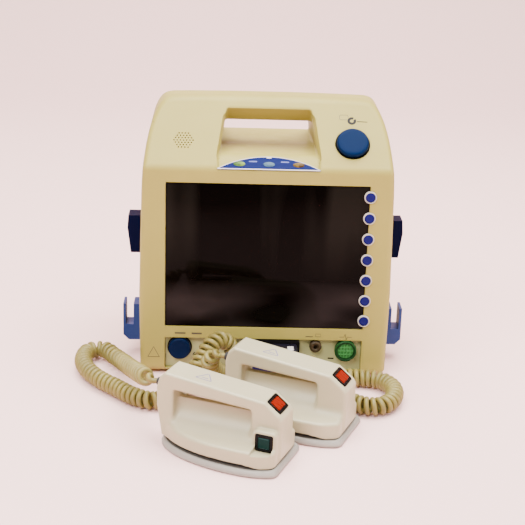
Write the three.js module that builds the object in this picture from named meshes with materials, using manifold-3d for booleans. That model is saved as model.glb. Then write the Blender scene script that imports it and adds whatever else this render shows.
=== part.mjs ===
// A portable hospital monitor-defibrillator with its two coiled-cord paddles laid out in front of it.
// Millimetres, +Z up. The unit's front faces -Y, and the origin is on the table under the middle of the
// unit and paddles together.
import * as THREE from "three";
import { mergeVertices } from "three/addons/utils/BufferGeometryUtils.js";
import Module from "manifold-3d";

const wasm = await Module();
wasm.setup();

// ---------------------------------------------------------------- driving dimensions
const GAP = 0.3;                 // clearance between pieces that touch
const WALL = 3.2;                // housing wall

const BODY_DEPTH = 176;
const BODY_BOTTOM = 3;
const BODY_TOP = 293;
const CREASE_Z = 230.5;          // where the upright face turns into the sloped panel
const SLOPE_RUN = 64;            // how far back the sloped panel reaches
const SEAM_Y = 72;               // front and rear housings meet here
const TOP_BACK_Y = 104;          // back edge of the flat top
const REAR_EDGE_Z = 221;         // where the rear slope meets the rear wall
const HALF_BOTTOM = 132.6;
const HALF_WIDEST = 133.9;
const WIDEST_Z = 92;
const HALF_SHOULDER = 131.5;
const SHOULDER_Z = 205;
const HALF_TOP = 98;

const SCREEN_HALF_X = 106;
const SCREEN_HALF_Z = 79.5;
const SCREEN_Z = 135;
const GLASS_THICK = 2;

const KEY_COUNT = 7;
const KEY_PITCH = 22.95;
const KEY_X = 106.5;
const KEY_Z = 134.2;
const KEY_R = 5.1;
const KEY_RING_R = 6.4;
const KEY_PROUD = 2.2;

const SLOPE_TILT = Math.atan2(BODY_TOP - CREASE_Z, SLOPE_RUN);
const KNOB = { x: 87.3, s: 33, r: 17.5, base: 1.1, top: 8.4 };
const WELL_R = 19.3;
const WELL_DEPTH = 3;
const SPEAKER = { x: -89, s: 33.5, r: 15, grille: 10.6, pitch: 3.5, hole: 0.75 };

const ARC_HALF = 53.8;           // the indicator panel is a segment of a circle: half its chord
const ARC_RISE = 15.2;
const LED_X = 30.7;
const LED_S = 5.9;
const LED_RX = 6.3;
const LED_RY = 3.1;

const GRIP_HALF = 49.5;          // half width of the hand opening
const GRIP_FLOOR_FRONT = 241.2;
const GRIP_FLOOR_REAR = 237;
const BAR = { lipY: 56, lipZ: 285.2, lowY: 72, lowZ: 266.5, backY: 97 };
const RECESS_TOP_HALF = 44.6;
const RECESS_TOP_S = 75;
const RECESS_SUNK = 2.5;

const STRIP = { half: 106, low: 6.5, high: 42.4, back: 6, thick: 3 };   // connector strip
const OXIMETER = { x: -90.3, z: 29.4, r: 11.8, neck: 8 };
const OUTPUT_JACK = { x: 56.3, z: 33.8, r: 6.6, neck: 4.5, bore: 2.4 };
const ECG = { x: 88.9, z: 30, r: 11.8, neck: 8, insert: 9 };
const SOCKET_BEHIND = 14;        // how far the sockets reach behind the front face
const PLUG = { x0: -21, x1: 36, y0: -22, z0: 13, z1: 38.5 };

const HOLDER = { y0: 50, y1: 72, inner: 134.4, outer: 154.6 };
const CRADLE = { low: 18.6, high: 61, wallIn: 143.1, wallOut: 151.7, floor: 36.8, slope: 6 };
const CLIP = { low: 121, high: 163, foot: 146, widest: 149.6, widestZ: 149 };
const FOOT = { r: 9, x: 108, front: 20, rear: 156, height: 2.7 };

const BATTERY = { x0: -108, x1: -20, y0: 92, z0: 14, z1: 62 };
const INLET = { x: 74, z: 34, halfX: 15, halfZ: 12, bore: 12, boreHigh: 8, front: 166, floor: 168 };
const VENT = { half: 45, low: 120, pitch: 12, slot: 4, rows: 6 };
const SCREW = { r: 4.3, depth: 2, spots: [[-116, 205], [116, 205], [-118, 84], [118, 16]] };
const CHASSIS = { front: 17.3, rear: 171, low: 6.5, top: 218, sheet: 2, half: 114 };
const POST = { r: 3, x: 98, heights: [70, 205] };
const SHELF_Z = CHASSIS.low + CHASSIS.sheet + GAP;
const MAIN_BOARD = { half: 105, y0: 24.3, y1: 26, z0: 60, z1: 214 };
const POWER_SUPPLY = { x0: 15, x1: 112, y0: 92, y1: 165, z1: 72 };
const CAPACITOR = { r: 25, x: 66, y: 60, top: 126 };
const LCD = { x0: -106, x1: 98, back: 17, half: 78 };

const PADDLE_TURN = -23 * Math.PI / 180;
const PADDLES = [
  { name: "paddle_1", x: -70.7, y: -166.6, charge: true },
  { name: "paddle_2", x: -6.1, y: -102.4, charge: false },
];
const SOLE = { tip: -31, wide: 58, half: 43, end: 98.5, endHalf: 36, corner: 7 };
const SOLE_TOP = 6.6;
const SHELL_LOW = 10.5;
const RIM_TOP = 23;
const HUMP_TOP = 49.5;
const HUMP_HALF = 4.5;
const HANDLE_HALF = 16.5;
const HANDLE_LEFT_Z = 76.8;
const HANDLE_RIGHT_Z = 65.5;
const CHAMFER = { x0: 78.5, x1: 93.5, z1: 54 };
const HANDLE_END = [[-22, HANDLE_LEFT_Z], [-28, 71.5], [-31.3, 61], [-31, 42]];
const FINGER_GAP = { x0: -14, x1: 66, low: 18, left: 60.5, right: 55.5, corner: 4 };
const CHARGE_BOSS = { x0: 70.6, x1: 94.4, z0: 17.5, z1: 40.5, front: -24 };
const BUTTON = { back: 5, proud: 0.9, frame: 2, pocket: 3.4, capBack: 1.2, capProud: 2.2 };
const SHOCK_HALF = [8.5, 11];
const CHARGE_HALF = [8.7, 8.5];
const CORD_EXIT = { x: -31.6, z: 59 };

const COIL_R = 9.7;
const RELIEF_LENGTH = 6;         // the cord grommet's part outside the handle
const ROUND = 28;                // sides of a large round piece
const SMALL_ROUND = 16;

// ---------------------------------------------------------------- geometry helpers
function toSolid(geometry) {
  const bare = geometry.index ? geometry.toNonIndexed() : geometry.clone();
  bare.deleteAttribute("normal");
  bare.deleteAttribute("uv");
  const merged = mergeVertices(bare, 1e-4);
  return new wasm.Manifold(new wasm.Mesh({
    numProp: 3,
    vertProperties: new Float32Array(merged.attributes.position.array),
    triVerts: new Uint32Array(merged.index.array),
  }));
}

function toGeometry(solid) {
  const mesh = solid.getMesh();
  const geometry = new THREE.BufferGeometry();
  geometry.setAttribute("position", new THREE.BufferAttribute(new Float32Array(mesh.vertProperties), 3));
  geometry.setIndex(new THREE.BufferAttribute(new Uint32Array(mesh.triVerts), 1));
  geometry.computeVertexNormals();
  return geometry;
}

function box(x0, x1, y0, y1, z0, z1) {
  const geometry = new THREE.BoxGeometry(x1 - x0, y1 - y0, z1 - z0);
  geometry.translate((x0 + x1) / 2, (y0 + y1) / 2, (z0 + z1) / 2);
  return toSolid(geometry);
}

const ALONG_X = new THREE.Matrix4().makeBasis(
  new THREE.Vector3(0, 1, 0), new THREE.Vector3(0, 0, 1), new THREE.Vector3(1, 0, 0));
const ALONG_Y = new THREE.Matrix4().makeBasis(
  new THREE.Vector3(-1, 0, 0), new THREE.Vector3(0, 0, 1), new THREE.Vector3(0, 1, 0));
const ALONG_Z = new THREE.Matrix4();

// A flat outline swept straight from `from` to `to` along one axis. Outlines are (y, z) for ALONG_X,
// (x, z) for ALONG_Y and (x, y) for ALONG_Z.
function sweep(points, axis, from, to) {
  const flip = axis === ALONG_Y ? -1 : 1;
  const shape = new THREE.Shape(points.map(([a, b]) => new THREE.Vector2(flip * a, b)));
  const geometry = new THREE.ExtrudeGeometry(shape, { depth: to - from, bevelEnabled: false });
  geometry.translate(0, 0, from);
  geometry.applyMatrix4(axis);
  return toSolid(geometry);
}

// A turned piece: [radius, height] pairs about the Z axis, from the axis back to the axis.
function turned(profile, sides = SMALL_ROUND) {
  const points = profile.map(([r, h]) => new THREE.Vector2(r, h));
  return toSolid(new THREE.LatheGeometry(points, sides));
}

// LatheGeometry turns about Y: this stands its axis along +Z, or lays it along -Y.
const UPRIGHT = new THREE.Matrix4().makeRotationX(Math.PI / 2);
const FACING = new THREE.Matrix4().makeRotationX(Math.PI);

function place(solid, matrix) {
  return solid.transform([...matrix.elements]);
}

function upright(profile, x, y, z, sides = SMALL_ROUND) {
  return place(place(turned(profile, sides), UPRIGHT), new THREE.Matrix4().makeTranslation(x, y, z));
}

// Axis along Y, heights counted towards the viewer, from the plane y.
function facing(profile, x, y, z, sides = SMALL_ROUND) {
  return place(place(turned(profile, sides), FACING), new THREE.Matrix4().makeTranslation(x, y, z));
}

function disc(r, low, high) {
  return [[0, low], [r, low], [r, high], [0, high]];
}

function ellipse(rx, ry, cx, cy, sides) {
  const ring = [];
  for (let i = 0; i < sides; i += 1) {
    const a = (2 * Math.PI * i) / sides;
    ring.push([cx + rx * Math.cos(a), cy + ry * Math.sin(a)]);
  }
  return ring;
}

function roundedRect(x0, x1, y0, y1, r, steps = 4) {
  const corners = [[x1 - r, y1 - r, 0], [x0 + r, y1 - r, 1], [x0 + r, y0 + r, 2], [x1 - r, y0 + r, 3]];
  const ring = [];
  for (const [cx, cy, quarter] of corners) {
    for (let i = 0; i <= steps; i += 1) {
      const a = (Math.PI / 2) * (quarter + i / steps);
      ring.push([cx + r * Math.cos(a), cy + r * Math.sin(a)]);
    }
  }
  return ring;
}

// ---------------------------------------------------------------- materials and scene graph
const colours = {
  cream: [0xd9cda4, 0.5, 0], paddle_white: [0xe3dfd2, 0.42, 0], glass: [0x0b0b0d, 0.08, 0],
  blue: [0x2c5c9c, 0.4, 0], key_blue: [0x333596, 0.4, 0], key_ring: [0xeeeae0, 0.5, 0],
  panel_blue: [0x3f59ac, 0.35, 0], holder_blue: [0x37508f, 0.45, 0], black: [0x161616, 0.5, 0],
  orange: [0xe05c2c, 0.35, 0], teal: [0x2c6560, 0.35, 0], green: [0x359450, 0.4, 0],
  white: [0xe8e6df, 0.45, 0], brown: [0x6f5a3c, 0.4, 0.3], cord: [0xd9cb9a, 0.55, 0],
  metal: [0xa9adb0, 0.35, 0.9], board: [0x1f5a38, 0.6, 0], rubber: [0x202022, 0.8, 0],
  lens_green: [0x9fd09a, 0.2, 0], lens_white: [0xbcd6ea, 0.2, 0], lens_amber: [0xe6b25a, 0.2, 0],
  can: [0x2a3140, 0.4, 0.2], strip: [0xc9bb90, 0.5, 0], cap_navy: [0x22376b, 0.4, 0],
};

const unit = new THREE.Group();

function add(parent, name, solid, finish) {
  const [color, roughness, metalness] = colours[finish];
  const material = new THREE.MeshStandardMaterial({ color, roughness, metalness });
  const mesh = new THREE.Mesh(toGeometry(solid), material);
  mesh.name = name;
  parent.add(mesh);
  return mesh;
}

// The sloped panel's own frame: x across, y up the slope, z out of the panel.
const SLOPE = new THREE.Matrix4()
  .makeTranslation(0, 0, CREASE_Z)
  .multiply(new THREE.Matrix4().makeRotationX(SLOPE_TILT));
const onSlope = (solid) => place(solid, SLOPE);
const slopeGroup = new THREE.Group();
slopeGroup.applyMatrix4(SLOPE);
unit.add(slopeGroup);

// ---------------------------------------------------------------- housings
function frontOutline(inset) {
  const right = [[HALF_BOTTOM, BODY_BOTTOM], [HALF_WIDEST, WIDEST_Z], [HALF_SHOULDER, SHOULDER_Z]];
  const shoulder = new THREE.CubicBezierCurve(
    new THREE.Vector2(HALF_SHOULDER, SHOULDER_Z), new THREE.Vector2(HALF_SHOULDER - 1.5, 250),
    new THREE.Vector2(124, BODY_TOP), new THREE.Vector2(HALF_TOP, BODY_TOP));
  right.push(...shoulder.getPoints(10).slice(1).map((p) => [p.x, p.y]));
  const shrunk = right.map(([x, z]) => {
    const lowered = z > SHOULDER_Z ? z - inset : z;
    return [x - inset, Math.max(BODY_BOTTOM + inset, lowered)];
  });
  return [...shrunk, ...shrunk.map(([x, z]) => [-x, z]).reverse()];
}

function sideOutline(inset) {
  const tan = Math.tan(SLOPE_TILT / 2);
  return [
    [inset, BODY_BOTTOM + inset], [BODY_DEPTH - inset, BODY_BOTTOM + inset],
    [BODY_DEPTH - inset, REAR_EDGE_Z - inset * tan], [TOP_BACK_Y - inset * tan, BODY_TOP - inset],
    [SLOPE_RUN + 6, BODY_TOP - inset], [SLOPE_RUN + inset * tan - 1.5, BODY_TOP - 0.7 - inset],
    [SLOPE_RUN - 5 + inset * tan, CREASE_Z + (SLOPE_RUN - 5) * Math.tan(SLOPE_TILT) - inset],
    [inset, CREASE_Z - inset * tan],
  ];
}

function gripVoid() {
  return sweep([
    [11, GRIP_FLOOR_FRONT], [BODY_DEPTH + 20, GRIP_FLOOR_REAR], [BODY_DEPTH + 20, BODY_TOP + 9],
    [BAR.backY, BODY_TOP + 9], [BAR.backY - 1, BAR.lowZ + 5], [BAR.backY - 5, BAR.lowZ + 1],
    [BAR.lowY, BAR.lowZ], [BAR.lipY, BAR.lipZ], [BAR.lipY - 16, BAR.lipZ + 16], [-10, BODY_TOP + 9],
    [-10, GRIP_FLOOR_FRONT],
  ], ALONG_X, -GRIP_HALF, GRIP_HALF);
}

function arcEdge(half, rise, steps) {
  const radius = (half * half + rise * rise) / (2 * rise);
  const sweepAngle = Math.asin(half / radius);
  const edge = [];
  for (let i = 0; i <= steps; i += 1) {
    const a = sweepAngle * (1 - (2 * i) / steps);
    edge.push([-radius * Math.sin(a), rise - radius + radius * Math.cos(a)]);
  }
  return edge;
}

function recessCut() {
  const outline = [...arcEdge(ARC_HALF, ARC_RISE, 14), [RECESS_TOP_HALF, RECESS_TOP_S],
    [-RECESS_TOP_HALF, RECESS_TOP_S]];
  return onSlope(sweep(outline, ALONG_Z, -RECESS_SUNK, 12));
}

const keyHeights = [];
for (let i = 0; i < KEY_COUNT; i += 1) {
  keyHeights.push(KEY_Z + KEY_PITCH * ((KEY_COUNT - 1) / 2 - i));
}
const KEY_STRIP = { x0: 106.6, x1: 111.6, z0: 57, z1: 211.5 };

function keyHoles(r, back, front) {
  let cut = null;
  for (const z of keyHeights) {
    const hole = facing(disc(r, -back, -front), KEY_X, 0, z);
    cut = cut ? cut.add(hole) : hole;
  }
  return cut;
}

function speakerHoles() {
  let cut = null;
  const rows = Math.floor(SPEAKER.grille / SPEAKER.pitch);
  for (let row = -rows; row <= rows; row += 1) {
    for (let column = -rows; column <= rows; column += 1) {
      const x = SPEAKER.pitch * (column + (row % 2 ? 0.5 : 0));
      const s = SPEAKER.pitch * 0.87 * row;
      if (Math.hypot(x, s) > SPEAKER.grille - 1) continue;
      const hole = upright(disc(SPEAKER.hole, -9, 2), SPEAKER.x + x, SPEAKER.s + s, 0, 6);
      cut = cut ? cut.add(hole) : hole;
    }
  }
  return onSlope(cut);
}

const REAR_SKIN = BODY_DEPTH - 6;

// A hole through the rear wall for a block that spans x0..x1 and z0..z1, with clearance.
function rearHole(x0, x1, z0, z1) {
  return box(x0 - GAP, x1 + GAP, REAR_SKIN, BODY_DEPTH + 1, z0 - GAP, z1 + GAP);
}

const inletFront = [INLET.x - INLET.halfX, INLET.x + INLET.halfX, INLET.z - INLET.halfZ, INLET.z + INLET.halfZ];

function housings() {
  const outer = sweep(sideOutline(0), ALONG_X, -140, 140)
    .intersect(sweep(frontOutline(0), ALONG_Y, -1, BODY_DEPTH + 1));
  const hollow = sweep(sideOutline(WALL), ALONG_X, -140, 140)
    .intersect(sweep(frontOutline(WALL), ALONG_Y, 0, BODY_DEPTH))
    .subtract(box(-GRIP_HALF - WALL, GRIP_HALF + WALL, -1, BODY_DEPTH + 1, GRIP_FLOOR_REAR - WALL, 320))
    .subtract(sweep([[-2, CREASE_Z - 8], [24, CREASE_Z - 8], [24, 262], [-2, 236]], ALONG_X, -62, 62));
  const shell = outer.subtract(hollow).subtract(gripVoid()).subtract(recessCut());
  const front = shell
    .subtract(box(-150, 150, SEAM_Y, BODY_DEPTH + 5, -5, 320))
    .subtract(sweep(roundedRect(-SCREEN_HALF_X - GAP, SCREEN_HALF_X + GAP, SCREEN_Z - SCREEN_HALF_Z - GAP,
      SCREEN_Z + SCREEN_HALF_Z + GAP, 1), ALONG_Y, -1, GLASS_THICK + GAP))
    .subtract(box(-102, 98.5, 1, WALL + 1, SCREEN_Z - 75, SCREEN_Z + 75))
    .subtract(box(KEY_STRIP.x0 - 1, KEY_STRIP.x1 + GAP, -1, 2 + GAP, KEY_STRIP.z0 - GAP, KEY_STRIP.z1 + GAP))
    .subtract(keyHoles(KEY_RING_R + GAP, 2 + GAP, -1))
    .subtract(keyHoles(KEY_R + 0.6, WALL + 1, 0))
    .subtract(box(-STRIP.half, STRIP.half, -1, STRIP.back + 3.4, STRIP.low, STRIP.high))
    .subtract(onSlope(upright(disc(WELL_R + GAP, -WELL_DEPTH, 5), KNOB.x, KNOB.s, 0, ROUND)))
    .subtract(onSlope(upright(disc(5, -9, 0), KNOB.x, KNOB.s, 0)))
    .subtract(onSlope(sweep([...arcEdge(ARC_HALF - 0.6, ARC_RISE - 0.5, 14)], ALONG_Z, -1.6, 5)))
    .subtract(speakerHoles());
  let rear = shell
    .subtract(box(-150, 150, -5, SEAM_Y + GAP, -5, 320))
    .subtract(rearHole(BATTERY.x0, BATTERY.x1, BATTERY.z0, BATTERY.z1))
    .subtract(rearHole(...inletFront));
  for (let row = 0; row < VENT.rows; row += 1) {
    const low = VENT.low + VENT.pitch * row;
    rear = rear.subtract(box(-VENT.half, VENT.half, REAR_SKIN, BODY_DEPTH + 1, low, low + VENT.slot));
  }
  for (const [x, z] of SCREW.spots) {
    rear = rear.subtract(facing(disc(SCREW.r, -BODY_DEPTH - 1, -BODY_DEPTH + SCREW.depth), x, 0, z, 12));
  }
  add(unit, "front_housing", front, "cream");
  add(unit, "rear_housing", rear, "cream");
}

// ---------------------------------------------------------------- screen, keys and indicators
function screenAndKeys() {
  const glass = sweep(roundedRect(-SCREEN_HALF_X, SCREEN_HALF_X, SCREEN_Z - SCREEN_HALF_Z,
    SCREEN_Z + SCREEN_HALF_Z, 1), ALONG_Y, -0.2, GLASS_THICK - 0.2)
    .subtract(keyHoles(KEY_RING_R + GAP, 4, -2));
  add(unit, "screen_window", glass, "glass");
  add(unit, "lcd_module", box(LCD.x0, LCD.x1, WALL + 1.3, LCD.back, SCREEN_Z - LCD.half, SCREEN_Z + LCD.half),
    "black");
  const strip = box(KEY_STRIP.x0, KEY_STRIP.x1, 0, 2, KEY_STRIP.z0, KEY_STRIP.z1)
    .add(keyHoles(KEY_RING_R, 2, -1.2))
    .subtract(keyHoles(KEY_R + GAP, 4, -3));
  add(unit, "soft_key_bezel", strip, "key_ring");
  keyHeights.forEach((z, i) => {
    const cap = facing([[0, -6], [KEY_R, -6], [KEY_R, KEY_PROUD - 0.8], [KEY_R - 0.9, KEY_PROUD],
      [0, KEY_PROUD]], KEY_X, 0, z);
    add(unit, `soft_key_${i + 1}`, cap, "key_blue");
  });
  add(unit, "soft_key_board", box(99.5, 115, 8, 10, 56, 212), "board");
}

function indicators() {
  let panel = sweep(arcEdge(ARC_HALF - 1, ARC_RISE - 0.8, 14), ALONG_Z, -1.3, 0.5);
  const lenses = [["indicator_ready", -LED_X, "lens_green"], ["indicator_mains", 0, "lens_white"],
    ["indicator_alarm", LED_X, "lens_amber"]];
  for (const [, x] of lenses) {
    panel = panel.subtract(sweep(ellipse(LED_RX + GAP, LED_RY + GAP, x, LED_S, 20), ALONG_Z, -3, 3));
  }
  add(slopeGroup, "indicator_panel", panel, "panel_blue");
  for (const [name, x, finish] of lenses) {
    add(slopeGroup, name, sweep(ellipse(LED_RX, LED_RY, x, LED_S, 20), ALONG_Z, -1.3, 1), finish);
  }
}

function knobAndSpeaker() {
  add(slopeGroup, "knob_well", upright([[4, -WELL_DEPTH + GAP], [WELL_R, -WELL_DEPTH + GAP], [WELL_R, 0.2],
    [WELL_R - 1, 0.2], [WELL_R - 1, -0.6], [4, -0.6], [4, -WELL_DEPTH + GAP]], KNOB.x, KNOB.s, 0, ROUND),
    "black");
  add(slopeGroup, "encoder_shaft", upright(disc(3, -12, 5), KNOB.x, KNOB.s, 0), "metal");
  add(slopeGroup, "energy_knob", upright([[0, 5.3], [3.3, 5.3], [3.3, KNOB.base], [KNOB.r, KNOB.base],
    [KNOB.r, KNOB.top - 1.5], [KNOB.r - 1.5, KNOB.top], [0, KNOB.top]], KNOB.x, KNOB.s, 0, ROUND), "blue");
  add(slopeGroup, "rotary_encoder", box(KNOB.x - 7, KNOB.x + 7, KNOB.s - 7, KNOB.s + 7, -20, -13.2), "metal");
  add(slopeGroup, "speaker", upright([[0, -14], [8, -14], [8, -9], [SPEAKER.r, -5], [SPEAKER.r, -WALL - GAP],
    [0, -WALL - GAP]], SPEAKER.x, SPEAKER.s, 0, 20), "rubber");
}

// ---------------------------------------------------------------- connector strip
function connectors() {
  let panel = box(-STRIP.half + GAP, STRIP.half - GAP, STRIP.back, STRIP.back + STRIP.thick, STRIP.low + GAP,
    STRIP.high - GAP);
  for (const { x, z, neck } of [OXIMETER, OUTPUT_JACK, ECG]) {
    panel = panel.subtract(facing(disc(neck + GAP, -STRIP.back - 4, -STRIP.back + 1), x, 0, z));
  }
  panel = panel.subtract(box(-16, 31, STRIP.back - 1, STRIP.back + 4, 18, 34));
  add(unit, "connector_panel", panel, "strip");

  const back = -STRIP.back + GAP;
  const stem = ({ neck, r }) => [[0, -SOCKET_BEHIND], [neck, -SOCKET_BEHIND], [neck, back], [r, back]];
  add(unit, "oximeter_socket", facing([...stem(OXIMETER), [OXIMETER.r, 1], [OXIMETER.r - 1, 2], [0, 2]],
    OXIMETER.x, 0, OXIMETER.z, ROUND), "cap_navy");
  add(unit, "output_jack", facing([...stem(OUTPUT_JACK), [OUTPUT_JACK.r, -1], [OUTPUT_JACK.r - 1.2, 0.5],
    [OUTPUT_JACK.bore, 0.5], [OUTPUT_JACK.bore, -5], [0, -5]], OUTPUT_JACK.x, 0, OUTPUT_JACK.z), "brown");
  const lip = ECG.insert + 0.4;
  add(unit, "ecg_socket", facing([...stem(ECG), [ECG.r, 1.2], [ECG.r - 1.2, 1.6], [lip, 1.6], [lip, -2.5],
    [0, -2.5]], ECG.x, 0, ECG.z, ROUND), "green");
  add(unit, "ecg_pin_block", facing(disc(ECG.insert, -2.1, 0.4), ECG.x, 0, ECG.z, ROUND), "green");

  const socket = sweep(roundedRect(PLUG.x0 - 3, PLUG.x1 + 3, PLUG.z0 - 2.5, PLUG.z1 + 2.5, 3), ALONG_Y, -1,
    STRIP.back - GAP)
    .add(box(-15.5, 30.5, STRIP.back - 1, 16, 18.5, 33.5));
  add(unit, "paddle_socket", socket, "black");
  const plug = sweep(roundedRect(PLUG.x0, PLUG.x1, PLUG.z0, PLUG.z1, 4), ALONG_Y, PLUG.y0, -1 - GAP);
  add(unit, "paddle_plug", plug, "panel_blue");
}

// ---------------------------------------------------------------- inside the case
function internals() {
  const { front, rear, low, top, sheet } = CHASSIS;
  let chassis = sweep([[front, low], [rear, low], [rear, low + sheet], [front + sheet, low + sheet],
    [front + sheet, top], [front, top]], ALONG_X, -CHASSIS.half, CHASSIS.half);
  for (const x of [-POST.x, POST.x]) {
    for (const z of POST.heights) {
      chassis = chassis.add(facing(disc(POST.r, -MAIN_BOARD.y0 + GAP, -front - 1), x, 0, z, 8));
    }
  }
  add(unit, "chassis_frame", chassis, "metal");
  add(unit, "main_board", box(-MAIN_BOARD.half, MAIN_BOARD.half, MAIN_BOARD.y0, MAIN_BOARD.y1, MAIN_BOARD.z0,
    MAIN_BOARD.z1), "board");
  add(unit, "power_supply", box(POWER_SUPPLY.x0, POWER_SUPPLY.x1, POWER_SUPPLY.y0, POWER_SUPPLY.y1, SHELF_Z,
    POWER_SUPPLY.z1), "metal");
  add(unit, "hv_capacitor", upright(disc(CAPACITOR.r, SHELF_Z, CAPACITOR.top), CAPACITOR.x, CAPACITOR.y, 0, 24),
    "can");
  add(unit, "battery_pack", box(BATTERY.x0, BATTERY.x1, BATTERY.y0, BODY_DEPTH - 1, BATTERY.z0, BATTERY.z1),
    "rubber");
  const casing = roundedRect(...inletFront, 2);
  const bore = roundedRect(INLET.x - INLET.bore, INLET.x + INLET.bore, INLET.z - INLET.boreHigh,
    INLET.z + INLET.boreHigh, 2);
  add(unit, "mains_inlet", sweep(casing, ALONG_Y, INLET.front, BODY_DEPTH + 1)
    .subtract(sweep(bore, ALONG_Y, INLET.floor, BODY_DEPTH + 3)), "black");
}

// ---------------------------------------------------------------- outside hardware
function holders() {
  const { inner, outer, y0, y1 } = HOLDER;
  const cradle = [[inner, CRADLE.high], [inner, CRADLE.low], [outer - CRADLE.slope, CRADLE.low],
    [outer, CRADLE.low + CRADLE.slope], [outer, CRADLE.high], [CRADLE.wallOut, CRADLE.high],
    [CRADLE.wallOut, CRADLE.floor], [CRADLE.wallIn, CRADLE.floor], [CRADLE.wallIn, CRADLE.high]];
  const clip = [[inner, CLIP.high], [inner, CLIP.low], [CLIP.foot, CLIP.low], [CLIP.widest, CLIP.widestZ],
    [CLIP.widest - 1, CLIP.high]];
  for (const [side, sign] of [["left", -1], ["right", 1]]) {
    const mirror = (points) => {
      const moved = points.map(([x, z]) => [sign * x, z]);
      return sign > 0 ? moved.reverse() : moved;
    };
    add(unit, `${side}_lower_cradle`, sweep(mirror(cradle), ALONG_Y, y0, y1), "holder_blue");
    add(unit, `${side}_upper_clip`, sweep(mirror(clip), ALONG_Y, y0, y1), "holder_blue");
  }
}

function feet() {
  const spots = [[-FOOT.x, FOOT.front], [FOOT.x, FOOT.front], [-FOOT.x, FOOT.rear], [FOOT.x, FOOT.rear]];
  spots.forEach(([x, y], i) => {
    add(unit, `foot_${i + 1}`, upright([[0, 0], [FOOT.r - 1, 0], [FOOT.r, 1], [FOOT.r, FOOT.height],
      [0, FOOT.height]], x, y, 0), "rubber");
  });
}

// ---------------------------------------------------------------- paddles
function soleOutline(inset) {
  const edge = [];
  const steps = 12;
  for (let i = 1; i < steps; i += 1) {
    const a = (Math.PI / 2) * (i / steps);
    edge.push([SOLE.wide - (SOLE.wide - SOLE.tip - inset) * Math.cos(a), (SOLE.half - inset) * Math.sin(a)]);
  }
  const end = SOLE.end - inset;
  const half = SOLE.endHalf - inset;
  const shoulder = new THREE.QuadraticBezierCurve(
    new THREE.Vector2(SOLE.wide, SOLE.half - inset), new THREE.Vector2(SOLE.wide + 20, SOLE.half - inset),
    new THREE.Vector2(end - SOLE.corner, half + 1));
  edge.push(...shoulder.getPoints(4).map((p) => [p.x, p.y]));
  edge.push([end - SOLE.corner * 0.3, half - SOLE.corner * 0.45 + 1], [end, half - SOLE.corner]);
  return [[SOLE.tip + inset, 0], ...edge, ...edge.map(([x, y]) => [x, -y]).reverse()].reverse();
}

function paddleShell(charge) {
  const slab = sweep(soleOutline(4.5), ALONG_Z, SHELL_LOW, RIM_TOP);
  const cove = [];
  const rimHalf = SOLE.half - 5;
  for (let i = 0; i <= 5; i += 1) {
    const a = (Math.PI / 2) * (i / 5);
    const up = HUMP_TOP - RIM_TOP + 1;
    cove.push([rimHalf - (rimHalf - HUMP_HALF) * Math.cos(a), HUMP_TOP - up * Math.sin(a)]);
  }
  const hump = sweep([[rimHalf, SHELL_LOW], ...cove.slice().reverse(), ...cove.map(([y, z]) => [-y, z]),
    [-rimHalf, SHELL_LOW]], ALONG_X, SOLE.tip, SOLE.end - 5)
    .intersect(sweep(soleOutline(4.5), ALONG_Z, SHELL_LOW, HUMP_TOP));
  const deck = SHELL_LOW + 1;
  const side = [[-26, deck], [96, deck], [96, 50], [CHAMFER.x1, CHAMFER.z1], [CHAMFER.x0, HANDLE_RIGHT_Z],
    ...HANDLE_END];
  const { x0, x1, low, left, right, corner } = FINGER_GAP;
  const gap = [[x0, low], [x1, low], [x1, right - 1.5], [x1 - corner, right], [x0 + corner, left],
    [x0, left - 3.5]];
  const loop = sweep(side, ALONG_Y, -HANDLE_HALF, HANDLE_HALF)
    .subtract(sweep(gap, ALONG_Y, -HANDLE_HALF - 5, HANDLE_HALF + 5));
  let shell = slab.add(hump).add(loop);
  if (charge) {
    shell = shell.add(sweep(roundedRect(CHARGE_BOSS.x0, CHARGE_BOSS.x1, CHARGE_BOSS.z0, CHARGE_BOSS.z1, 3, 3),
      ALONG_Y, CHARGE_BOSS.front, -10));
  }
  return shell;
}

const CHAMFER_TILT = Math.atan2(HANDLE_RIGHT_Z - CHAMFER.z1, CHAMFER.x1 - CHAMFER.x0);
const chamferFrame = new THREE.Matrix4()
  .makeTranslation((CHAMFER.x0 + CHAMFER.x1) / 2, 0, (HANDLE_RIGHT_Z + CHAMFER.z1) / 2)
  .multiply(new THREE.Matrix4().makeRotationY(CHAMFER_TILT));
const chargeFrame = new THREE.Matrix4()
  .makeTranslation((CHARGE_BOSS.x0 + CHARGE_BOSS.x1) / 2, CHARGE_BOSS.front,
    (CHARGE_BOSS.z0 + CHARGE_BOSS.z1) / 2)
  .multiply(new THREE.Matrix4().makeRotationX(Math.PI / 2));

// A push button in its bezel, about the Z axis of `frame`: half sizes along its x and y. It returns the
// hole that the bezel needs.
function button(parent, frame, names, [halfX, halfY], finish) {
  const ring = (inset, r) => roundedRect(-halfX + inset, halfX - inset, -halfY + inset, halfY - inset, r, 3);
  const bezel = sweep(ring(0, 2), ALONG_Z, -BUTTON.back, BUTTON.proud)
    .subtract(sweep(ring(BUTTON.frame, 1), ALONG_Z, -BUTTON.pocket, BUTTON.proud + 2));
  const push = sweep(ring(BUTTON.frame + 0.4, 1), ALONG_Z, -BUTTON.capBack, BUTTON.capProud);
  add(parent, names[0], place(bezel, frame), "black");
  add(parent, names[1], place(push, frame), finish);
  return place(sweep(ring(-GAP, 2), ALONG_Z, -BUTTON.back - GAP, 6), frame);
}

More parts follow.
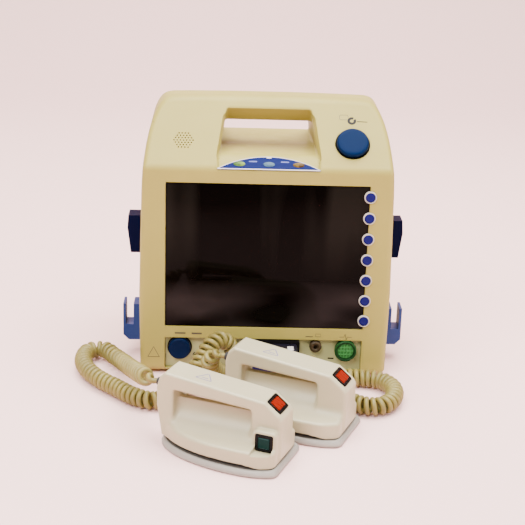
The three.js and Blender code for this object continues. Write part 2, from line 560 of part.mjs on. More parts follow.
function paddle({ name, x, y, charge }) {
  const group = new THREE.Group();
  group.position.set(x, y, 0);
  group.rotation.z = PADDLE_TURN;
  unit.add(group);
  let shell = paddleShell(charge);
  shell = shell.subtract(button(group, chamferFrame, [`${name}_shock_bezel`, `${name}_shock_button`],
    SHOCK_HALF, "orange"));
  if (charge) {
    shell = shell.subtract(button(group, chargeFrame, [`${name}_charge_bezel`, `${name}_charge_button`],
      CHARGE_HALF, "teal"));
  }
  const exit = new THREE.Matrix4().makeTranslation(CORD_EXIT.x, 0, CORD_EXIT.z)
    .multiply(new THREE.Matrix4().makeRotationZ(Math.PI / 2));
  const relief = place(turned([[0, -6], [3.6, -6], [3.6, 0.5], [5.4, 0.5], [5.4, 3], [3.8, RELIEF_LENGTH],
    [0, RELIEF_LENGTH]]), exit);
  const reliefHole = place(turned(disc(3.6 + GAP, -6 - 1, 5)), exit);
  add(group, `${name}_shell`, shell.subtract(reliefHole), "paddle_white");
  add(group, `${name}_cord_grommet`, relief, "rubber");
  const sole = sweep(soleOutline(1.5), ALONG_Z, 0.8, SOLE_TOP)
    .add(sweep(soleOutline(0), ALONG_Z, 0.8, SOLE_TOP - 3))
    .add(sweep(soleOutline(9), ALONG_Z, SOLE_TOP - 1, SHELL_LOW - GAP))
    .subtract(sweep(soleOutline(4.7), ALONG_Z, 0, 2.1));
  add(group, `${name}_sole`, sole, "paddle_white");
  add(group, `${name}_electrode`, sweep(soleOutline(5), ALONG_Z, 0, 1.8), "metal");
}

// ---------------------------------------------------------------- curly cords
// Each is one fat tube of the coil's outer diameter. The points are [x, y, z] from the unit to the paddle.
const PLUG_MID_Z = (PLUG.z0 + PLUG.z1) / 2;

// A point on the line that a paddle's cord leaves along, `out` millimetres beyond its grommet.
function beyondGrommet(index, out) {
  const reach = CORD_EXIT.x - RELIEF_LENGTH - out;
  const { x, y } = PADDLES[index];
  return [x + reach * Math.cos(PADDLE_TURN), y + reach * Math.sin(PADDLE_TURN), CORD_EXIT.z];
}

const CORD_ROUTES = {
  paddle_cord_1: [
    [PLUG.x0 - GAP, -13, 28], [PLUG.x0 - 7, -13, 28], [-36, -14, 39], [-45, -19, 49], [-56, -29, 46],
    [-66, -39, 34], [-75, -51, 21], [-85, -66, 12.5], [-97, -82, 10.5], [-114, -92, 10.5],
    [-134, -82, 10.5], [-152, -63, 10.5], [-171, -43, 10.5], [-187, -18, 10.5], [-195, 10, 10.5],
    [-190, 35, 10.5], [-175, 36, 11.5], [-161, 10, 15], [-149, -22, 22], [-138, -62, 33],
    [-127, -104, 46], [-120, -132, 55], beyondGrommet(0, 9), beyondGrommet(0, GAP),
  ],
  paddle_cord_2: [
    [PLUG.x1 + GAP, -12, PLUG_MID_Z], [PLUG.x1 + 9, -12, PLUG_MID_Z], [58, -16, 17], [76, -22, 11.5],
    [97, -25, 10.5], [112, -27, 10.5], [126, -33, 10.5], [135, -48, 10.5], [136, -65, 10.5],
    [129, -85, 10.5], [117, -96, 10.5], [102, -95, 10.5], [84, -82, 10.5], [64, -71, 10.5],
    [42, -61, 10.5], [16, -51, 10.5], [-8, -45, 10.5], [-30, -46, 14], [-45, -54, 24], [-54, -65, 37],
    [-56, -76, 50], beyondGrommet(1, 9), beyondGrommet(1, GAP),
  ],
};

function cord(name) {
  const path = new THREE.CatmullRomCurve3(
    CORD_ROUTES[name].map(([x, y, z]) => new THREE.Vector3(x, y, z)), false, "centripetal");
  const section = new THREE.Shape(ellipse(COIL_R, COIL_R, 0, 0, 8).map(([a, b]) => new THREE.Vector2(a, b)));
  const geometry = new THREE.ExtrudeGeometry(section, {
    steps: 48, extrudePath: path, bevelEnabled: false,
  });
  add(unit, name, toSolid(geometry), "cord");
}

housings();
screenAndKeys();
indicators();
knobAndSpeaker();
connectors();
internals();
holders();
feet();
PADDLES.forEach(paddle);
Object.keys(CORD_ROUTES).forEach(cord);

// The origin is centred under everything except the free cords.
const footprint = new THREE.Box3();
const corner = new THREE.Vector3();
unit.updateMatrixWorld(true);
unit.traverse((object) => {
  if (!object.isMesh || object.name in CORD_ROUTES || object.name === "paddle_plug") return;
  const position = object.geometry.attributes.position;
  for (let i = 0; i < position.count; i += 1) {
    footprint.expandByPoint(corner.fromBufferAttribute(position, i).applyMatrix4(object.matrixWorld));
  }
});
unit.position.y = -(footprint.min.y + footprint.max.y) / 2;

const defibrillator = new THREE.Group();
defibrillator.add(unit);

export default defibrillator;
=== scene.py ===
"""The looks of a portable monitor-defibrillator and its two paddles on coiled cords, built round the CAD.

Shapes are worked out in millimetres in the unit's own frame: x across, y back from the front face, z up
from the table. to_row() turns them into metres in the frame that the CAD and the camera share."""

import math
import random

import bpy
import numpy as np
from mathutils import Matrix, Vector


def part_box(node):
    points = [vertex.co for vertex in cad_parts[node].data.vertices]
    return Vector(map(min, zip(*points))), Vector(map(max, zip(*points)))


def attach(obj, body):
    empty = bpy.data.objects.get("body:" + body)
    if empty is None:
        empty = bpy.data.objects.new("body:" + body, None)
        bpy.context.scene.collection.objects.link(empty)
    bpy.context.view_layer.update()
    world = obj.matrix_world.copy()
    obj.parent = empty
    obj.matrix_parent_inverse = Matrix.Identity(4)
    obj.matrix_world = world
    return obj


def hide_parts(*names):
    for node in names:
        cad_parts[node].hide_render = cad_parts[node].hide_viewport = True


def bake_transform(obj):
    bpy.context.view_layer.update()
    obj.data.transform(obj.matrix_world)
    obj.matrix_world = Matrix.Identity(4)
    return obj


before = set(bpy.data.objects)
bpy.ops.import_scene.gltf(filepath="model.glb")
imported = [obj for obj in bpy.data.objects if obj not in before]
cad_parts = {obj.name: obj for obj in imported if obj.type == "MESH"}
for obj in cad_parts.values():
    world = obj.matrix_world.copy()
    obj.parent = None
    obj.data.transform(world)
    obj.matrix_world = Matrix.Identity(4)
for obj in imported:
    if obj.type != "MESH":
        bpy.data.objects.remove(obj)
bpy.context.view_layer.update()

MM = 0.001
FRONT_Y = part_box("front_housing")[0].y          # the unit's front face in the row frame, metres


def to_row(points):
    """Unit-frame millimetres to row-frame metres."""
    return np.asarray(points, float) * MM + np.array([0.0, FRONT_Y, 0.0])


def node_box(node):
    """A CAD node's box in unit-frame millimetres: two arrays, lowest and highest corner."""
    low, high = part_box(node)
    shift = np.array([0.0, FRONT_Y, 0.0])
    return (np.array(low) - shift) / MM, (np.array(high) - shift) / MM


# ---------------------------------------------------------------- camera, floor and light
CAMERA_AT = Vector((-0.0438, -1.2751, 0.5755))
CAMERA_PITCH = math.radians(18.868)
CAMERA_YAW = math.radians(1.7588)
CAMERA_ROLL = math.radians(1.7709)
CAMERA_LENS = 89.72
LAMP_COLOUR = (1.0, 0.985, 0.965)
FLOOR_BEND, FLOOR_RADIUS = 1.4, 1.2            # where the floor starts to rise, and how tightly, in metres


def make_camera():
    forward = Vector((math.sin(CAMERA_YAW) * math.cos(CAMERA_PITCH),
                      math.cos(CAMERA_YAW) * math.cos(CAMERA_PITCH), -math.sin(CAMERA_PITCH)))
    level = forward.cross(Vector((0, 0, 1))).normalized()
    upward = level.cross(forward)
    right = math.cos(CAMERA_ROLL) * level + math.sin(CAMERA_ROLL) * upward
    top = -math.sin(CAMERA_ROLL) * level + math.cos(CAMERA_ROLL) * upward
    camera = bpy.data.objects.new("camera", bpy.data.cameras.new("camera"))
    bpy.context.scene.collection.objects.link(camera)
    camera.matrix_world = Matrix((right, top, -forward)).transposed().to_4x4()
    camera.location = CAMERA_AT
    camera.data.lens = CAMERA_LENS
    camera.data.sensor_width = 36
    camera.data.clip_start = 0.05
    camera.data.clip_end = 50
    bpy.context.scene.camera = camera


def area_light(name, at, towards, size, power):
    light = bpy.data.lights.new(name, "AREA")
    light.shape = "RECTANGLE"
    light.size, light.size_y = size
    light.energy = power
    light.color = LAMP_COLOUR
    lamp = bpy.data.objects.new(name, light)
    lamp.location = at
    lamp.rotation_mode = "QUATERNION"
    lamp.rotation_quaternion = (Vector(towards) - Vector(at)).to_track_quat("-Z", "Y")
    bpy.context.scene.collection.objects.link(lamp)


def make_lights():
    area_light("key_light", (-0.9, -1.3, 2.0), (0, 0.05, 0.1), (1.6, 1.2), 105)
    area_light("top_light", (0.2, 0.3, 2.2), (0, 0, 0.1), (2.4, 1.8), 190)
    area_light("fill_light", (1.8, -0.9, 1.1), (0, 0, 0.12), (1.4, 1.4), 34)
    world = bpy.data.worlds.new("studio")
    bpy.context.scene.world = world
    world.use_nodes = True
    world.node_tree.nodes["Background"].inputs["Color"].default_value = (0.93, 0.90, 0.88, 1)
    world.node_tree.nodes["Background"].inputs["Strength"].default_value = 0.62


def make_floor():
    """A pale sweep: flat round the object, rising in a long curve far behind it."""
    rows = [(-3.0, 0.0), (FLOOR_BEND, 0.0)]
    for i in range(1, 13):
        a = math.radians(7.5 * i)
        rows.append((FLOOR_BEND + FLOOR_RADIUS * math.sin(a), FLOOR_RADIUS * (1 - math.cos(a))))
    rows.append((FLOOR_BEND + FLOOR_RADIUS, 4.0))
    vertices = [(x, y, z) for y, z in rows for x in (-4.0, 4.0)]
    faces = [(2 * i, 2 * i + 1, 2 * i + 3, 2 * i + 2) for i in range(len(rows) - 1)]
    data = bpy.data.meshes.new("floor")
    data.from_pydata(vertices, [], faces)
    data.polygons.foreach_set("use_smooth", [True] * len(faces))
    floor = bpy.data.objects.new("floor", data)
    bpy.context.scene.collection.objects.link(floor)
    paint(floor, floor_paper())


# ---------------------------------------------------------------- material building blocks
class Nodes:
    """A material's node tree, with short names for what the finishes below share."""

    def __init__(self, name):
        self.material = bpy.data.materials.new(name)
        self.material.use_nodes = True
        self.tree = self.material.node_tree
        self.shader = self.tree.nodes["Principled BSDF"]
        self.where = self.add("ShaderNodeTexCoord").outputs["Object"]

    def add(self, kind, **values):
        node = self.tree.nodes.new(kind)
        for key, value in values.items():
            if hasattr(node, key):
                setattr(node, key, value)
            else:
                node.inputs[key.replace("_", " ")].default_value = value
        return node

    def link(self, output, node, socket):
        self.tree.links.new(output, node.inputs[socket])

    def noise(self, scale, detail=3.0, stretch=None, roughness=0.55):
        node = self.add("ShaderNodeTexNoise", Scale=scale, Detail=detail, Roughness=roughness)
        source = self.where
        if stretch:
            mapping = self.add("ShaderNodeMapping")
            mapping.inputs["Scale"].default_value = stretch
            self.link(source, mapping, "Vector")
            source = mapping.outputs["Vector"]
        self.link(source, node, "Vector")
        return node.outputs["Fac"]

    def ramp(self, value, low, high, first, last):
        node = self.add("ShaderNodeMapRange")
        node.inputs["From Min"].default_value = low
        node.inputs["From Max"].default_value = high
        node.inputs["To Min"].default_value = first
        node.inputs["To Max"].default_value = last
        self.link(value, node, "Value")
        return node.outputs["Result"]

    def mix(self, factor, first, second):
        node = self.add("ShaderNodeMix", data_type="RGBA")
        self.tree.links.new(factor, node.inputs["Factor"])
        for socket, value in (("A", first), ("B", second)):
            target = [s for s in node.inputs if s.name == socket and s.type == "RGBA"][0]
            if isinstance(value, bpy.types.NodeSocket):
                self.tree.links.new(value, target)
            else:
                target.default_value = (*value, 1)
        return [s for s in node.outputs if s.type == "RGBA"][0]

    def height(self, low, high):
        """How high a point is: 0 at the level low and 1 at the level high, in metres above the table."""
        split = self.add("ShaderNodeSeparateXYZ")
        self.link(self.where, split, "Vector")
        return self.ramp(split.outputs["Z"], low, high, 0, 1)

    def product(self, first, second):
        node = self.add("ShaderNodeMath", operation="MULTIPLY")
        self.link(first, node, 0)
        self.link(second, node, 1)
        return node.outputs[0]

    def bump(self, height, distance, strength=1.0, under=None):
        node = self.add("ShaderNodeBump")
        node.inputs["Strength"].default_value = strength
        node.inputs["Distance"].default_value = distance
        self.link(height, node, "Height")
        if under:
            self.link(under, node, "Normal")
        return node.outputs["Normal"]

    def surface(self, colour, roughness, normal=None):
        """Wires up the finish and gives its material."""
        self.link(colour, self.shader, "Base Color")
        self.link(roughness, self.shader, "Roughness")
        if normal is not None:
            self.link(normal, self.shader, "Normal")
        return self.material


def moulded(name, colour, roughness=0.45, grain=900.0, depth=0.00006, patch=0.06, specular=0.5,
            ageing=None):
    """Moulded plastic: a fine spark-eroded grain, slow patches of tone, and handling marks in the gloss."""
    n = Nodes(name)
    dark = tuple(c * (1 - patch) for c in colour)
    light = tuple(min(1.0, c * (1 + patch)) for c in colour)
    tone = n.mix(n.ramp(n.noise(14.0, 4.0), 0.35, 0.65, 0, 1), dark, light)
    if ageing:
        tone = n.mix(n.ramp(n.noise(5.0, 2.0), 0.45, 0.75, 0.0, 0.5), tone, ageing)
    speck = n.ramp(n.noise(420.0, 1.0), 0.25, 0.75, 0.0, 0.10)
    handling = n.product(n.noise(60.0, 3.0), n.noise(90.0, 2.0, stretch=(1.0, 9.0, 0.7)))
    fine = n.bump(n.noise(grain, 2.0), depth, 0.6)
    n.shader.inputs["Specular IOR Level"].default_value = specular
    return n.surface(n.mix(speck, tone, dark),
                     n.ramp(handling, 0.12, 0.40, roughness - 0.07, roughness + 0.09),
                     n.bump(n.noise(grain / 9, 2.0), depth * 3, 0.25, fine))


def floor_paper():
    n = Nodes("floor_paper")
    return n.surface(n.mix(n.noise(1.1, 2.0), (0.90, 0.585, 0.555), (0.935, 0.615, 0.585)),
                     n.ramp(n.noise(40.0), 0.3, 0.7, 0.62, 0.72), n.bump(n.noise(300.0), 0.00005, 0.3))


def curly_jacket():
    """The cord's jacket: cream elastomer, greyer in handled patches, with a faint extrusion grain."""
    n = Nodes("curly_jacket")
    base = n.mix(n.ramp(n.noise(35.0, 3.0), 0.35, 0.65, 0, 1), (0.17, 0.133, 0.026), (0.235, 0.185, 0.038))
    return n.surface(n.mix(n.ramp(n.noise(260.0), 0.45, 0.8, 0, 0.25), base, (0.12, 0.092, 0.022)),
                     n.ramp(n.noise(150.0), 0.3, 0.7, 0.42, 0.58), n.bump(n.noise(700.0, 2.0), 0.00005, 0.5))


def brushed_metal():
    n = Nodes("brushed_metal")
    n.shader.inputs["Metallic"].default_value = 1.0
    return n.surface(n.mix(n.noise(50.0, stretch=(1, 30, 1)), (0.48, 0.49, 0.50), (0.62, 0.63, 0.64)),
                     n.ramp(n.noise(120.0, stretch=(1, 40, 1)), 0.3, 0.7, 0.26, 0.42),
                     n.bump(n.noise(400.0, stretch=(1, 40, 1)), 0.00003, 0.4))


def circuit_board():
    n = Nodes("circuit_board")
    traces = n.add("ShaderNodeTexBrick", Scale=90.0)
    n.link(n.where, traces, "Vector")
    traces.inputs["Color1"].default_value = (0.012, 0.10, 0.04, 1)
    traces.inputs["Color2"].default_value = (0.018, 0.13, 0.05, 1)
    traces.inputs["Mortar"].default_value = (0.10, 0.22, 0.07, 1)
    return n.surface(traces.outputs["Color"], n.ramp(n.noise(150.0), 0.3, 0.7, 0.3, 0.45),
                     n.bump(traces.outputs["Fac"], 0.00004, 0.5))


def screen_glass():
    """Dark display glass: painted reflection as faint brown-grey streaks up high and a paler veil low down,
    and wiping marks.
    """
    n = Nodes("screen_glass")
    # Painted reflection: faint brown-grey streaks lighten the glass's near-black (depth) towards the top of
    # the screen.
    streaks = n.ramp(n.noise(9.0, 1.5, stretch=(2.6, 1.0, 0.32)), 0.46, 0.68, 0, 1)
    depth = n.mix(n.product(streaks, n.height(0.105, 0.165)), (0.0012, 0.0006, 0.0004),
                  (0.0085, 0.0066, 0.0052))
    # Painted reflection: a paler veil over the glass in patches, strongest low down.
    patches = n.ramp(n.noise(11.0, 1.0, stretch=(0.8, 1.0, 1.9)), 0.34, 0.52, 0, 1)
    n.shader.inputs["Specular IOR Level"].default_value = 0.035
    return n.surface(n.mix(n.product(n.height(0.108, 0.085), patches), depth, (0.021, 0.015, 0.0145)),
                     n.ramp(n.noise(22.0, 4.0, stretch=(1.0, 1.0, 3.0)), 0.4, 0.7, 0.05, 0.11))


def lens_finish(name, colour, glow):
    """A moulded lens: tinted, mottled with a paler glow tint, and a polished top."""
    n = Nodes(name)
    n.shader.inputs["Specular IOR Level"].default_value = 0.15
    n.shader.inputs["Coat Weight"].default_value = 0.03
    n.shader.inputs["Coat Roughness"].default_value = 0.05
    return n.surface(n.mix(n.ramp(n.noise(160.0, 2.0), 0.35, 0.65, 0, 1), colour, glow),
                     n.ramp(n.noise(200.0), 0.3, 0.7, 0.12, 0.22), n.bump(n.noise(500.0), 0.00004, 0.4))


def paint(obj, material):
    obj.data.materials.clear()
    obj.data.materials.append(material)


def dress_node(node, material, width):
    """A carried-over CAD node's finish, and its edges eased by a bevel of the given width."""
    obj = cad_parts[node]
    paint(obj, material)
    bevel = obj.modifiers.new("eased", "BEVEL")
    bevel.width = width * MM
    bevel.segments = 2
    bevel.limit_method = "ANGLE"
    bevel.angle_limit = math.radians(40)


# ---------------------------------------------------------------- meshes
def make_piece(name, vertices, faces, material, body, slot, smooth_angle=32.0, in_row=False):
    """A mesh object in the row frame that rides on a CAD body."""
    data = bpy.data.meshes.new(name)
    placed = np.asarray(vertices, float) if in_row else to_row(vertices)
    data.from_pydata(placed.tolist(), [], [list(map(int, f)) for f in faces])
    data.validate()
    piece = bpy.data.objects.new(name, data)
    bpy.context.scene.collection.objects.link(piece)
    shade(piece, smooth_angle)
    paint(piece, material)
    if body:
        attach(piece, body)
    return piece


def add_piece(name, shape, material, body="unit", slot=None, node=None, at=None, smooth_angle=32.0):
    """A piece from (vertices, faces) in the frame at, put in the place of a CAD node where one is named."""
    placed = shape if at is None else moved(at, shape)
    piece = make_piece(name, *placed, material, body, slot, smooth_angle)
    if node:
        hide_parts(node)
    return piece


def shade(piece, smooth_angle=32.0):
    """Smooth shading that breaks at edges sharper than the angle."""
    data = piece.data
    data.polygons.foreach_set("use_smooth", [True] * len(data.polygons))
    data.set_sharp_from_angle(angle=math.radians(smooth_angle))


def settle(piece):
    """Applies the piece's modifiers to its mesh."""
    evaluated = piece.evaluated_get(bpy.context.evaluated_depsgraph_get())
    final = bpy.data.meshes.new_from_object(evaluated)
    piece.modifiers.clear()
    piece.data = final


def join(*parts):
    """Several (vertices, faces) as one."""
    vertices, faces, count = [], [], 0
    for points, loops in parts:
        vertices.append(np.asarray(points, float))
        faces += [[k + count for k in loop] for loop in loops]
        count += len(points)
    return np.vstack(vertices), faces


def moved(matrix, part):
    """A (vertices, faces) put into another frame by a 4x4 matrix."""
    vertices, faces = part
    m = np.array(matrix, float)
    return np.asarray(vertices) @ m[:3, :3].T + m[:3, 3], faces


def loft(rings):
    """A closed skin through rings with equal counts of points, flat at both ends."""
    count = len(rings[0])
    faces = []
    for i in range(len(rings) - 1):
        for k in range(count):
            a, b = i * count + k, i * count + (k + 1) % count
            faces.append((a, b, b + count, a + count))
    faces.append(tuple(reversed(range(count))))
    faces.append(tuple(range(count * (len(rings) - 1), count * len(rings))))
    return np.vstack(rings), faces


def soften(points, radius, steps=3):
    """An open line of 2D points with its corners rounded."""
    points = [np.array(p, float) for p in points]
    out = [points[0]]
    for before, corner, after in zip(points, points[1:], points[2:]):
        to_before, to_after = before - corner, after - corner
        reach = min(radius, 0.45 * np.linalg.norm(to_before), 0.45 * np.linalg.norm(to_after))
        first = corner + to_before / np.linalg.norm(to_before) * reach
        last = corner + to_after / np.linalg.norm(to_after) * reach
        for i in range(steps + 1):
            t = i / steps
            out.append((1 - t) ** 2 * first + 2 * t * (1 - t) * corner + t * t * last)
    return out + [points[-1]]


def spin(line, sides):
    """The rings of points that (radius, height) pairs make about Z."""
    angles = 2 * np.pi * np.arange(sides) / sides
    circle = np.column_stack([np.cos(angles), np.sin(angles)])
    return [np.column_stack([circle * r, np.full(sides, h)]) for r, h in line]


def lathe(profile, sides=48, radius=0.4):
    """A turned piece about Z from (radius, height) pairs that start and end on the axis."""
    line = soften(profile, radius)[1:-1] if radius else [np.array(p, float) for p in profile[1:-1]]
    return loft(spin(line, sides))


def ring_lathe(profile, sides, radius):
    """A turned ring about Z from a closed loop of (radius, height) pairs, its corners rounded."""
    line = soften([*profile, profile[0], profile[1]], radius)[1:-1]
    faces = []
    for i in range(len(line)):
        j = (i + 1) % len(line)
        for k in range(sides):
            n = (k + 1) % sides
            faces.append((i * sides + k, i * sides + n, j * sides + n, j * sides + k))
    return np.vstack(spin(line, sides)), faces


def rect_ring(half_x, half_y, radius, z, x=0.0, y=0.0, steps=5):
    """A rounded rectangle of points at height z, counter-clockwise."""
    out = []
    for quarter, (sx, sy) in enumerate(((1, 1), (-1, 1), (-1, -1), (1, -1))):
        for i in range(steps + 1):
            a = math.pi / 2 * (quarter + i / steps)
            out.append((x + sx * (half_x - radius) + radius * math.cos(a),
                        y + sy * (half_y - radius) + radius * math.sin(a), z))
    return np.array(out)


def slab(half_x, half_y, corner, low, high, edge=0.6, x=0.0, y=0.0, steps=3):
    """A rounded rectangular block with its top and bottom edges rounded."""
    curve = []
    for i in range(steps + 1):
        a = math.pi / 2 * i / steps
        curve.append((edge * (1 - math.sin(a)), edge * (1 - math.cos(a))))
    levels = [(inset, low + rise) for inset, rise in curve]
    levels += [(inset, high - rise) for inset, rise in reversed(curve)]
    return loft([rect_ring(half_x - inset, half_y - inset, max(corner - inset, 0.1), z, x, y)
                 for inset, z in levels])


def tube(path, radius, sides=10):
    """Rings round a path, closed at both ends. The radius may be one number or one for each point."""
    path = np.asarray(path, float)
    tangent = np.gradient(path, axis=0)
    tangent /= np.linalg.norm(tangent, axis=1)[:, None]
    side = np.cross(tangent[0], (0.02, 0, 1.0))
    radii = np.broadcast_to(radius, len(path))
    angles = 2 * np.pi * np.arange(sides) / sides
    rings = []
    for point, t, r in zip(path, tangent, radii):
        side = side - t * (side @ t)
        side /= np.linalg.norm(side)
        other = np.cross(t, side)
        rings.append(point + r * (np.cos(angles)[:, None] * side + np.sin(angles)[:, None] * other))
    return loft(rings)


# ---------------------------------------------------------------- solid fields
# A field gives the signed distance in millimetres to a shape's surface, negative inside.
def both(radius, *fields):
    """The common part of several shapes, its new edges rounded."""
    out = fields[0]
    for f in fields[1:]:
        out = (np.minimum(-radius, np.maximum(out, f))
               + np.hypot(np.maximum(out + radius, 0), np.maximum(f + radius, 0)))
    return out


def either(radius, *fields):
    """Shapes joined, with a fillet where they meet."""
    return -both(radius, *[-f for f in fields])


def without(radius, shape, *holes):
    """A shape less some holes, their edges rounded."""
    for hole in holes:
        shape = both(radius, shape, -hole)
    return shape


def outline_field(u, v, points):
    """The distance to a closed 2D outline."""
    nearest = np.inf
    inside = False
    for (u0, v0), (u1, v1) in zip(points, [*points[1:], points[0]]):
        du, dv = u1 - u0, v1 - v0
        wu, wv = u - u0, v - v0
        t = np.clip((wu * du + wv * dv) / (du * du + dv * dv), 0, 1)
        nearest = np.minimum(nearest, (wu - du * t) ** 2 + (wv - dv * t) ** 2)
        if abs(dv) > 1e-9:
            inside = inside ^ (((v0 > v) != (v1 > v)) & (wu < du * wv / dv))
    return np.sqrt(nearest) * np.where(inside, -1.0, 1.0)


def box_field(x, y, z, low, high, corner=0.0):
    gaps = [np.maximum(a - q, q - b) for q, a, b in zip((x, y, z), low, high)]
    return both(corner, *gaps) if corner else np.maximum(np.maximum(gaps[0], gaps[1]), gaps[2])


def contour(field, low, high, step):
    """The zero surface of field(x, y, z) by dual contouring, which keeps sharp edges: vertices, quads."""
    axes = [np.arange(a - step, b + 2 * step, step) for a, b in zip(low, high)]
    origin = np.array([a[0] for a in axes])
    values = np.broadcast_to(field(axes[0][:, None, None], axes[1][None, :, None], axes[2][None, None, :]),
                             [len(a) for a in axes])
    inside = values < 0
    stride = np.array([len(axes[1]) * len(axes[2]), len(axes[2]), 1])
    cells, places, normals, quads = [], [], [], []
    for axis in range(3):
        others = [k for k in range(3) if k != axis]
        lower = tuple(slice(None, -1) if k == axis else slice(1, -1) for k in range(3))
        upper = tuple(slice(1, None) if k == axis else slice(1, -1) for k in range(3))
        at = np.argwhere(inside[lower] != inside[upper])
        at[:, others] += 1
        ends = at.copy()
        ends[:, axis] += 1
        start, stop = origin + at * step, origin + ends * step
        f_start, f_stop = values[tuple(at.T)], values[tuple(ends.T)]
        for _ in range(4):
            share = np.clip(f_start / (f_start - f_stop), 0.05, 0.95)
            middle = start + (stop - start) * share[:, None]
            f_middle = field(*middle.T)
            same = (f_middle < 0) == (f_start < 0)
            start, f_start = np.where(same[:, None], middle, start), np.where(same, f_middle, f_start)
            stop, f_stop = np.where(same[:, None], stop, middle), np.where(same, f_stop, f_middle)
        share = f_start / (f_start - f_stop)
        place = start + (stop - start) * share[:, None]
        small = 0.02 * step
        slope = np.column_stack([field(*(place + e).T) - field(*(place - e).T) for e in np.eye(3) * small])
        slope /= np.maximum(np.linalg.norm(slope, axis=1), 1e-12)[:, None]
        around = []
        for a, b in ((-1, -1), (0, -1), (0, 0), (-1, 0)):
            cell = at.copy()
            cell[:, others[0]] += a
            cell[:, others[1]] += b
            around.append(cell @ stride)
            cells.append(around[-1])
            places.append(place)
            normals.append(slope)
        quad = np.column_stack(around)
        turn = inside[tuple(at.T)] == (axis != 1)
        quads.append(np.where(turn[:, None], quad, quad[:, ::-1]))
    cells, places, normals = np.concatenate(cells), np.vstack(places), np.vstack(normals)
    used, which = np.unique(cells, return_inverse=True)
    count = len(used)

    def total(weights):
        return np.bincount(which, weights, count)

    share = total(np.ones(len(which)))
    middle = np.column_stack([total(places[:, k]) for k in range(3)]) / share[:, None]
    offset = ((places - middle[which]) * normals).sum(1)
    matrix = np.empty((count, 3, 3))
    target = np.empty((count, 3))
    for i in range(3):
        target[:, i] = total(normals[:, i] * offset)
        for k in range(3):
            matrix[:, i, k] = total(normals[:, i] * normals[:, k])
    matrix += np.eye(3) * (0.04 * share)[:, None, None]
    shift = np.linalg.solve(matrix, target[:, :, None])[:, :, 0]
    cell = np.column_stack([used // stride[0], used % stride[0] // stride[1], used % stride[1]])
    corner = origin + cell * step
    vertices = np.clip(middle + shift, corner - 0.1 * step, corner + 1.1 * step)
    return vertices, np.searchsorted(used, np.vstack(quads))


def field_piece(name, field, low, high, step, keep, material, body, slot, matrix=None, smooth_angle=38.0):
    """A piece from a field, thinned where it is flat to the share `keep` of its triangles."""
    part = contour(field, low, high, step)
    if matrix is not None:
        part = moved(matrix, part)
    piece = make_piece(name, *part, material, body, slot, smooth_angle)
    thin = piece.modifiers.new("thin", "DECIMATE")
    thin.ratio = keep
    settle(piece)
    shade(piece, smooth_angle)
    return piece


# ---------------------------------------------------------------- places shared by several pieces
PLUG_LOW, PLUG_HIGH = node_box("paddle_plug")
PLUG_MID_Z = (PLUG_LOW[2] + PLUG_HIGH[2]) / 2
PADDLE_TURN = math.radians(-23)
PADDLE_SPOTS = {"paddle_1": (-70.7, -166.6), "paddle_2": (-6.1, -102.4)}
GAP = 0.3
CORD_EXIT_X = -37.6                              # the end of the grommet, along the paddle
CORD_EXIT_Z = 59.0


# ---------------------------------------------------------------- the case
BODY_LOW, BODY_HIGH = 3.0, 293.0
DEPTH = 176.0
CREASE_Z = 230.5                 # where the upright face turns into the sloped panel
SLOPE_TILT = math.atan2(BODY_HIGH - CREASE_Z, 64.0)
SEAM_Y = 72.0
TOP_BACK_Y = 104.0
WALL = 3.2
CROWN_Z, CROWN_EXTRA = 276.0, 1.9    # above this height the wall thickens inwards
CASE_REACH = 135                     # half the width that the covers are contoured over
CASE_STEP, CASE_KEEP = 1.7, 0.45     # a grid fine enough for both faces of the wall; triangles kept
KEY_BORE = 5.7
SHOULDER = ((131.5, 205.0), (130.0, 250.0), (124.0, 293.0), (98.0, 293.0))      # a Bezier's four points
CREAM = (0.335, 0.275, 0.058)

SCREEN_HALF_X, SCREEN_HALF_Z, SCREEN_Z = 106.0, 79.5, 135.0
GLASS_SUNK = 1.5
KEY_X = 106.5
KEY_HEIGHTS = [float(sum(corner[2] for corner in node_box(f"soft_key_{i}")) / 2) for i in range(1, 8)]
RING_R, BORE_R = 6.4, 5.35
ARC_HALF, ARC_RISE = 53.8, 15.2
ARC_RADIUS = (ARC_HALF ** 2 + ARC_RISE ** 2) / (2 * ARC_RISE)
KNOB_X, KNOB_S, KNOB_R = 87.3, 33.0, 17.5
SPEAKER_X, SPEAKER_S = -89.0, 33.5
STRIP_HALF, STRIP_LOW, STRIP_HIGH, STRIP_BACK = 106.0, 6.5, 42.4, 6.0
SOCKETS = {"oximeter": (-90.3, 29.4), "jack": (56.3, 33.8), "ecg": (88.9, 30.0)}
VENT_ROWS, VENT_LOW, VENT_PITCH, VENT_HALF, VENT_R = 6, 122.0, 12.0, 43.0, 2.0
SCREW_SPOTS = ((-116.0, 205.0), (116.0, 205.0), (-118.0, 84.0), (118.0, 16.0))

# Frames: SLOPE has z out of the sloped panel and y up it, FACING has z towards the user and y up, and
# REARWARD has z away from the back and y up.
SLOPE = Matrix(((1, 0, 0, 0), (0, math.cos(SLOPE_TILT), -math.sin(SLOPE_TILT), 0),
                (0, math.sin(SLOPE_TILT), math.cos(SLOPE_TILT), CREASE_Z), (0, 0, 0, 1)))
FACING = Matrix(((1, 0, 0, 0), (0, 0, -1, 0), (0, 1, 0, 0), (0, 0, 0, 1)))
REARWARD = Matrix(((-1, 0, 0, 0), (0, 0, 1, 0), (0, 1, 0, 0), (0, 0, 0, 1)))


def on_front(x, z):
    """A frame at a place on the front: z towards the user, its zero at the front face."""
    return Matrix.Translation((x, 0, z)) @ FACING


def slope_coordinates(y, z):
    """How far up the sloped panel, and how far out of it."""
    c, s = math.cos(SLOPE_TILT), math.sin(SLOPE_TILT)
    return y * c + (z - CREASE_Z) * s, (z - CREASE_Z) * c - y * s


def line_field(u, v, first, second):
    """A half plane in two coordinates: inside lies to the left of the way from first to second."""
    du, dv = second[0] - first[0], second[1] - first[1]
    return ((u - first[0]) * dv - (v - first[1]) * du) / math.hypot(du, dv)


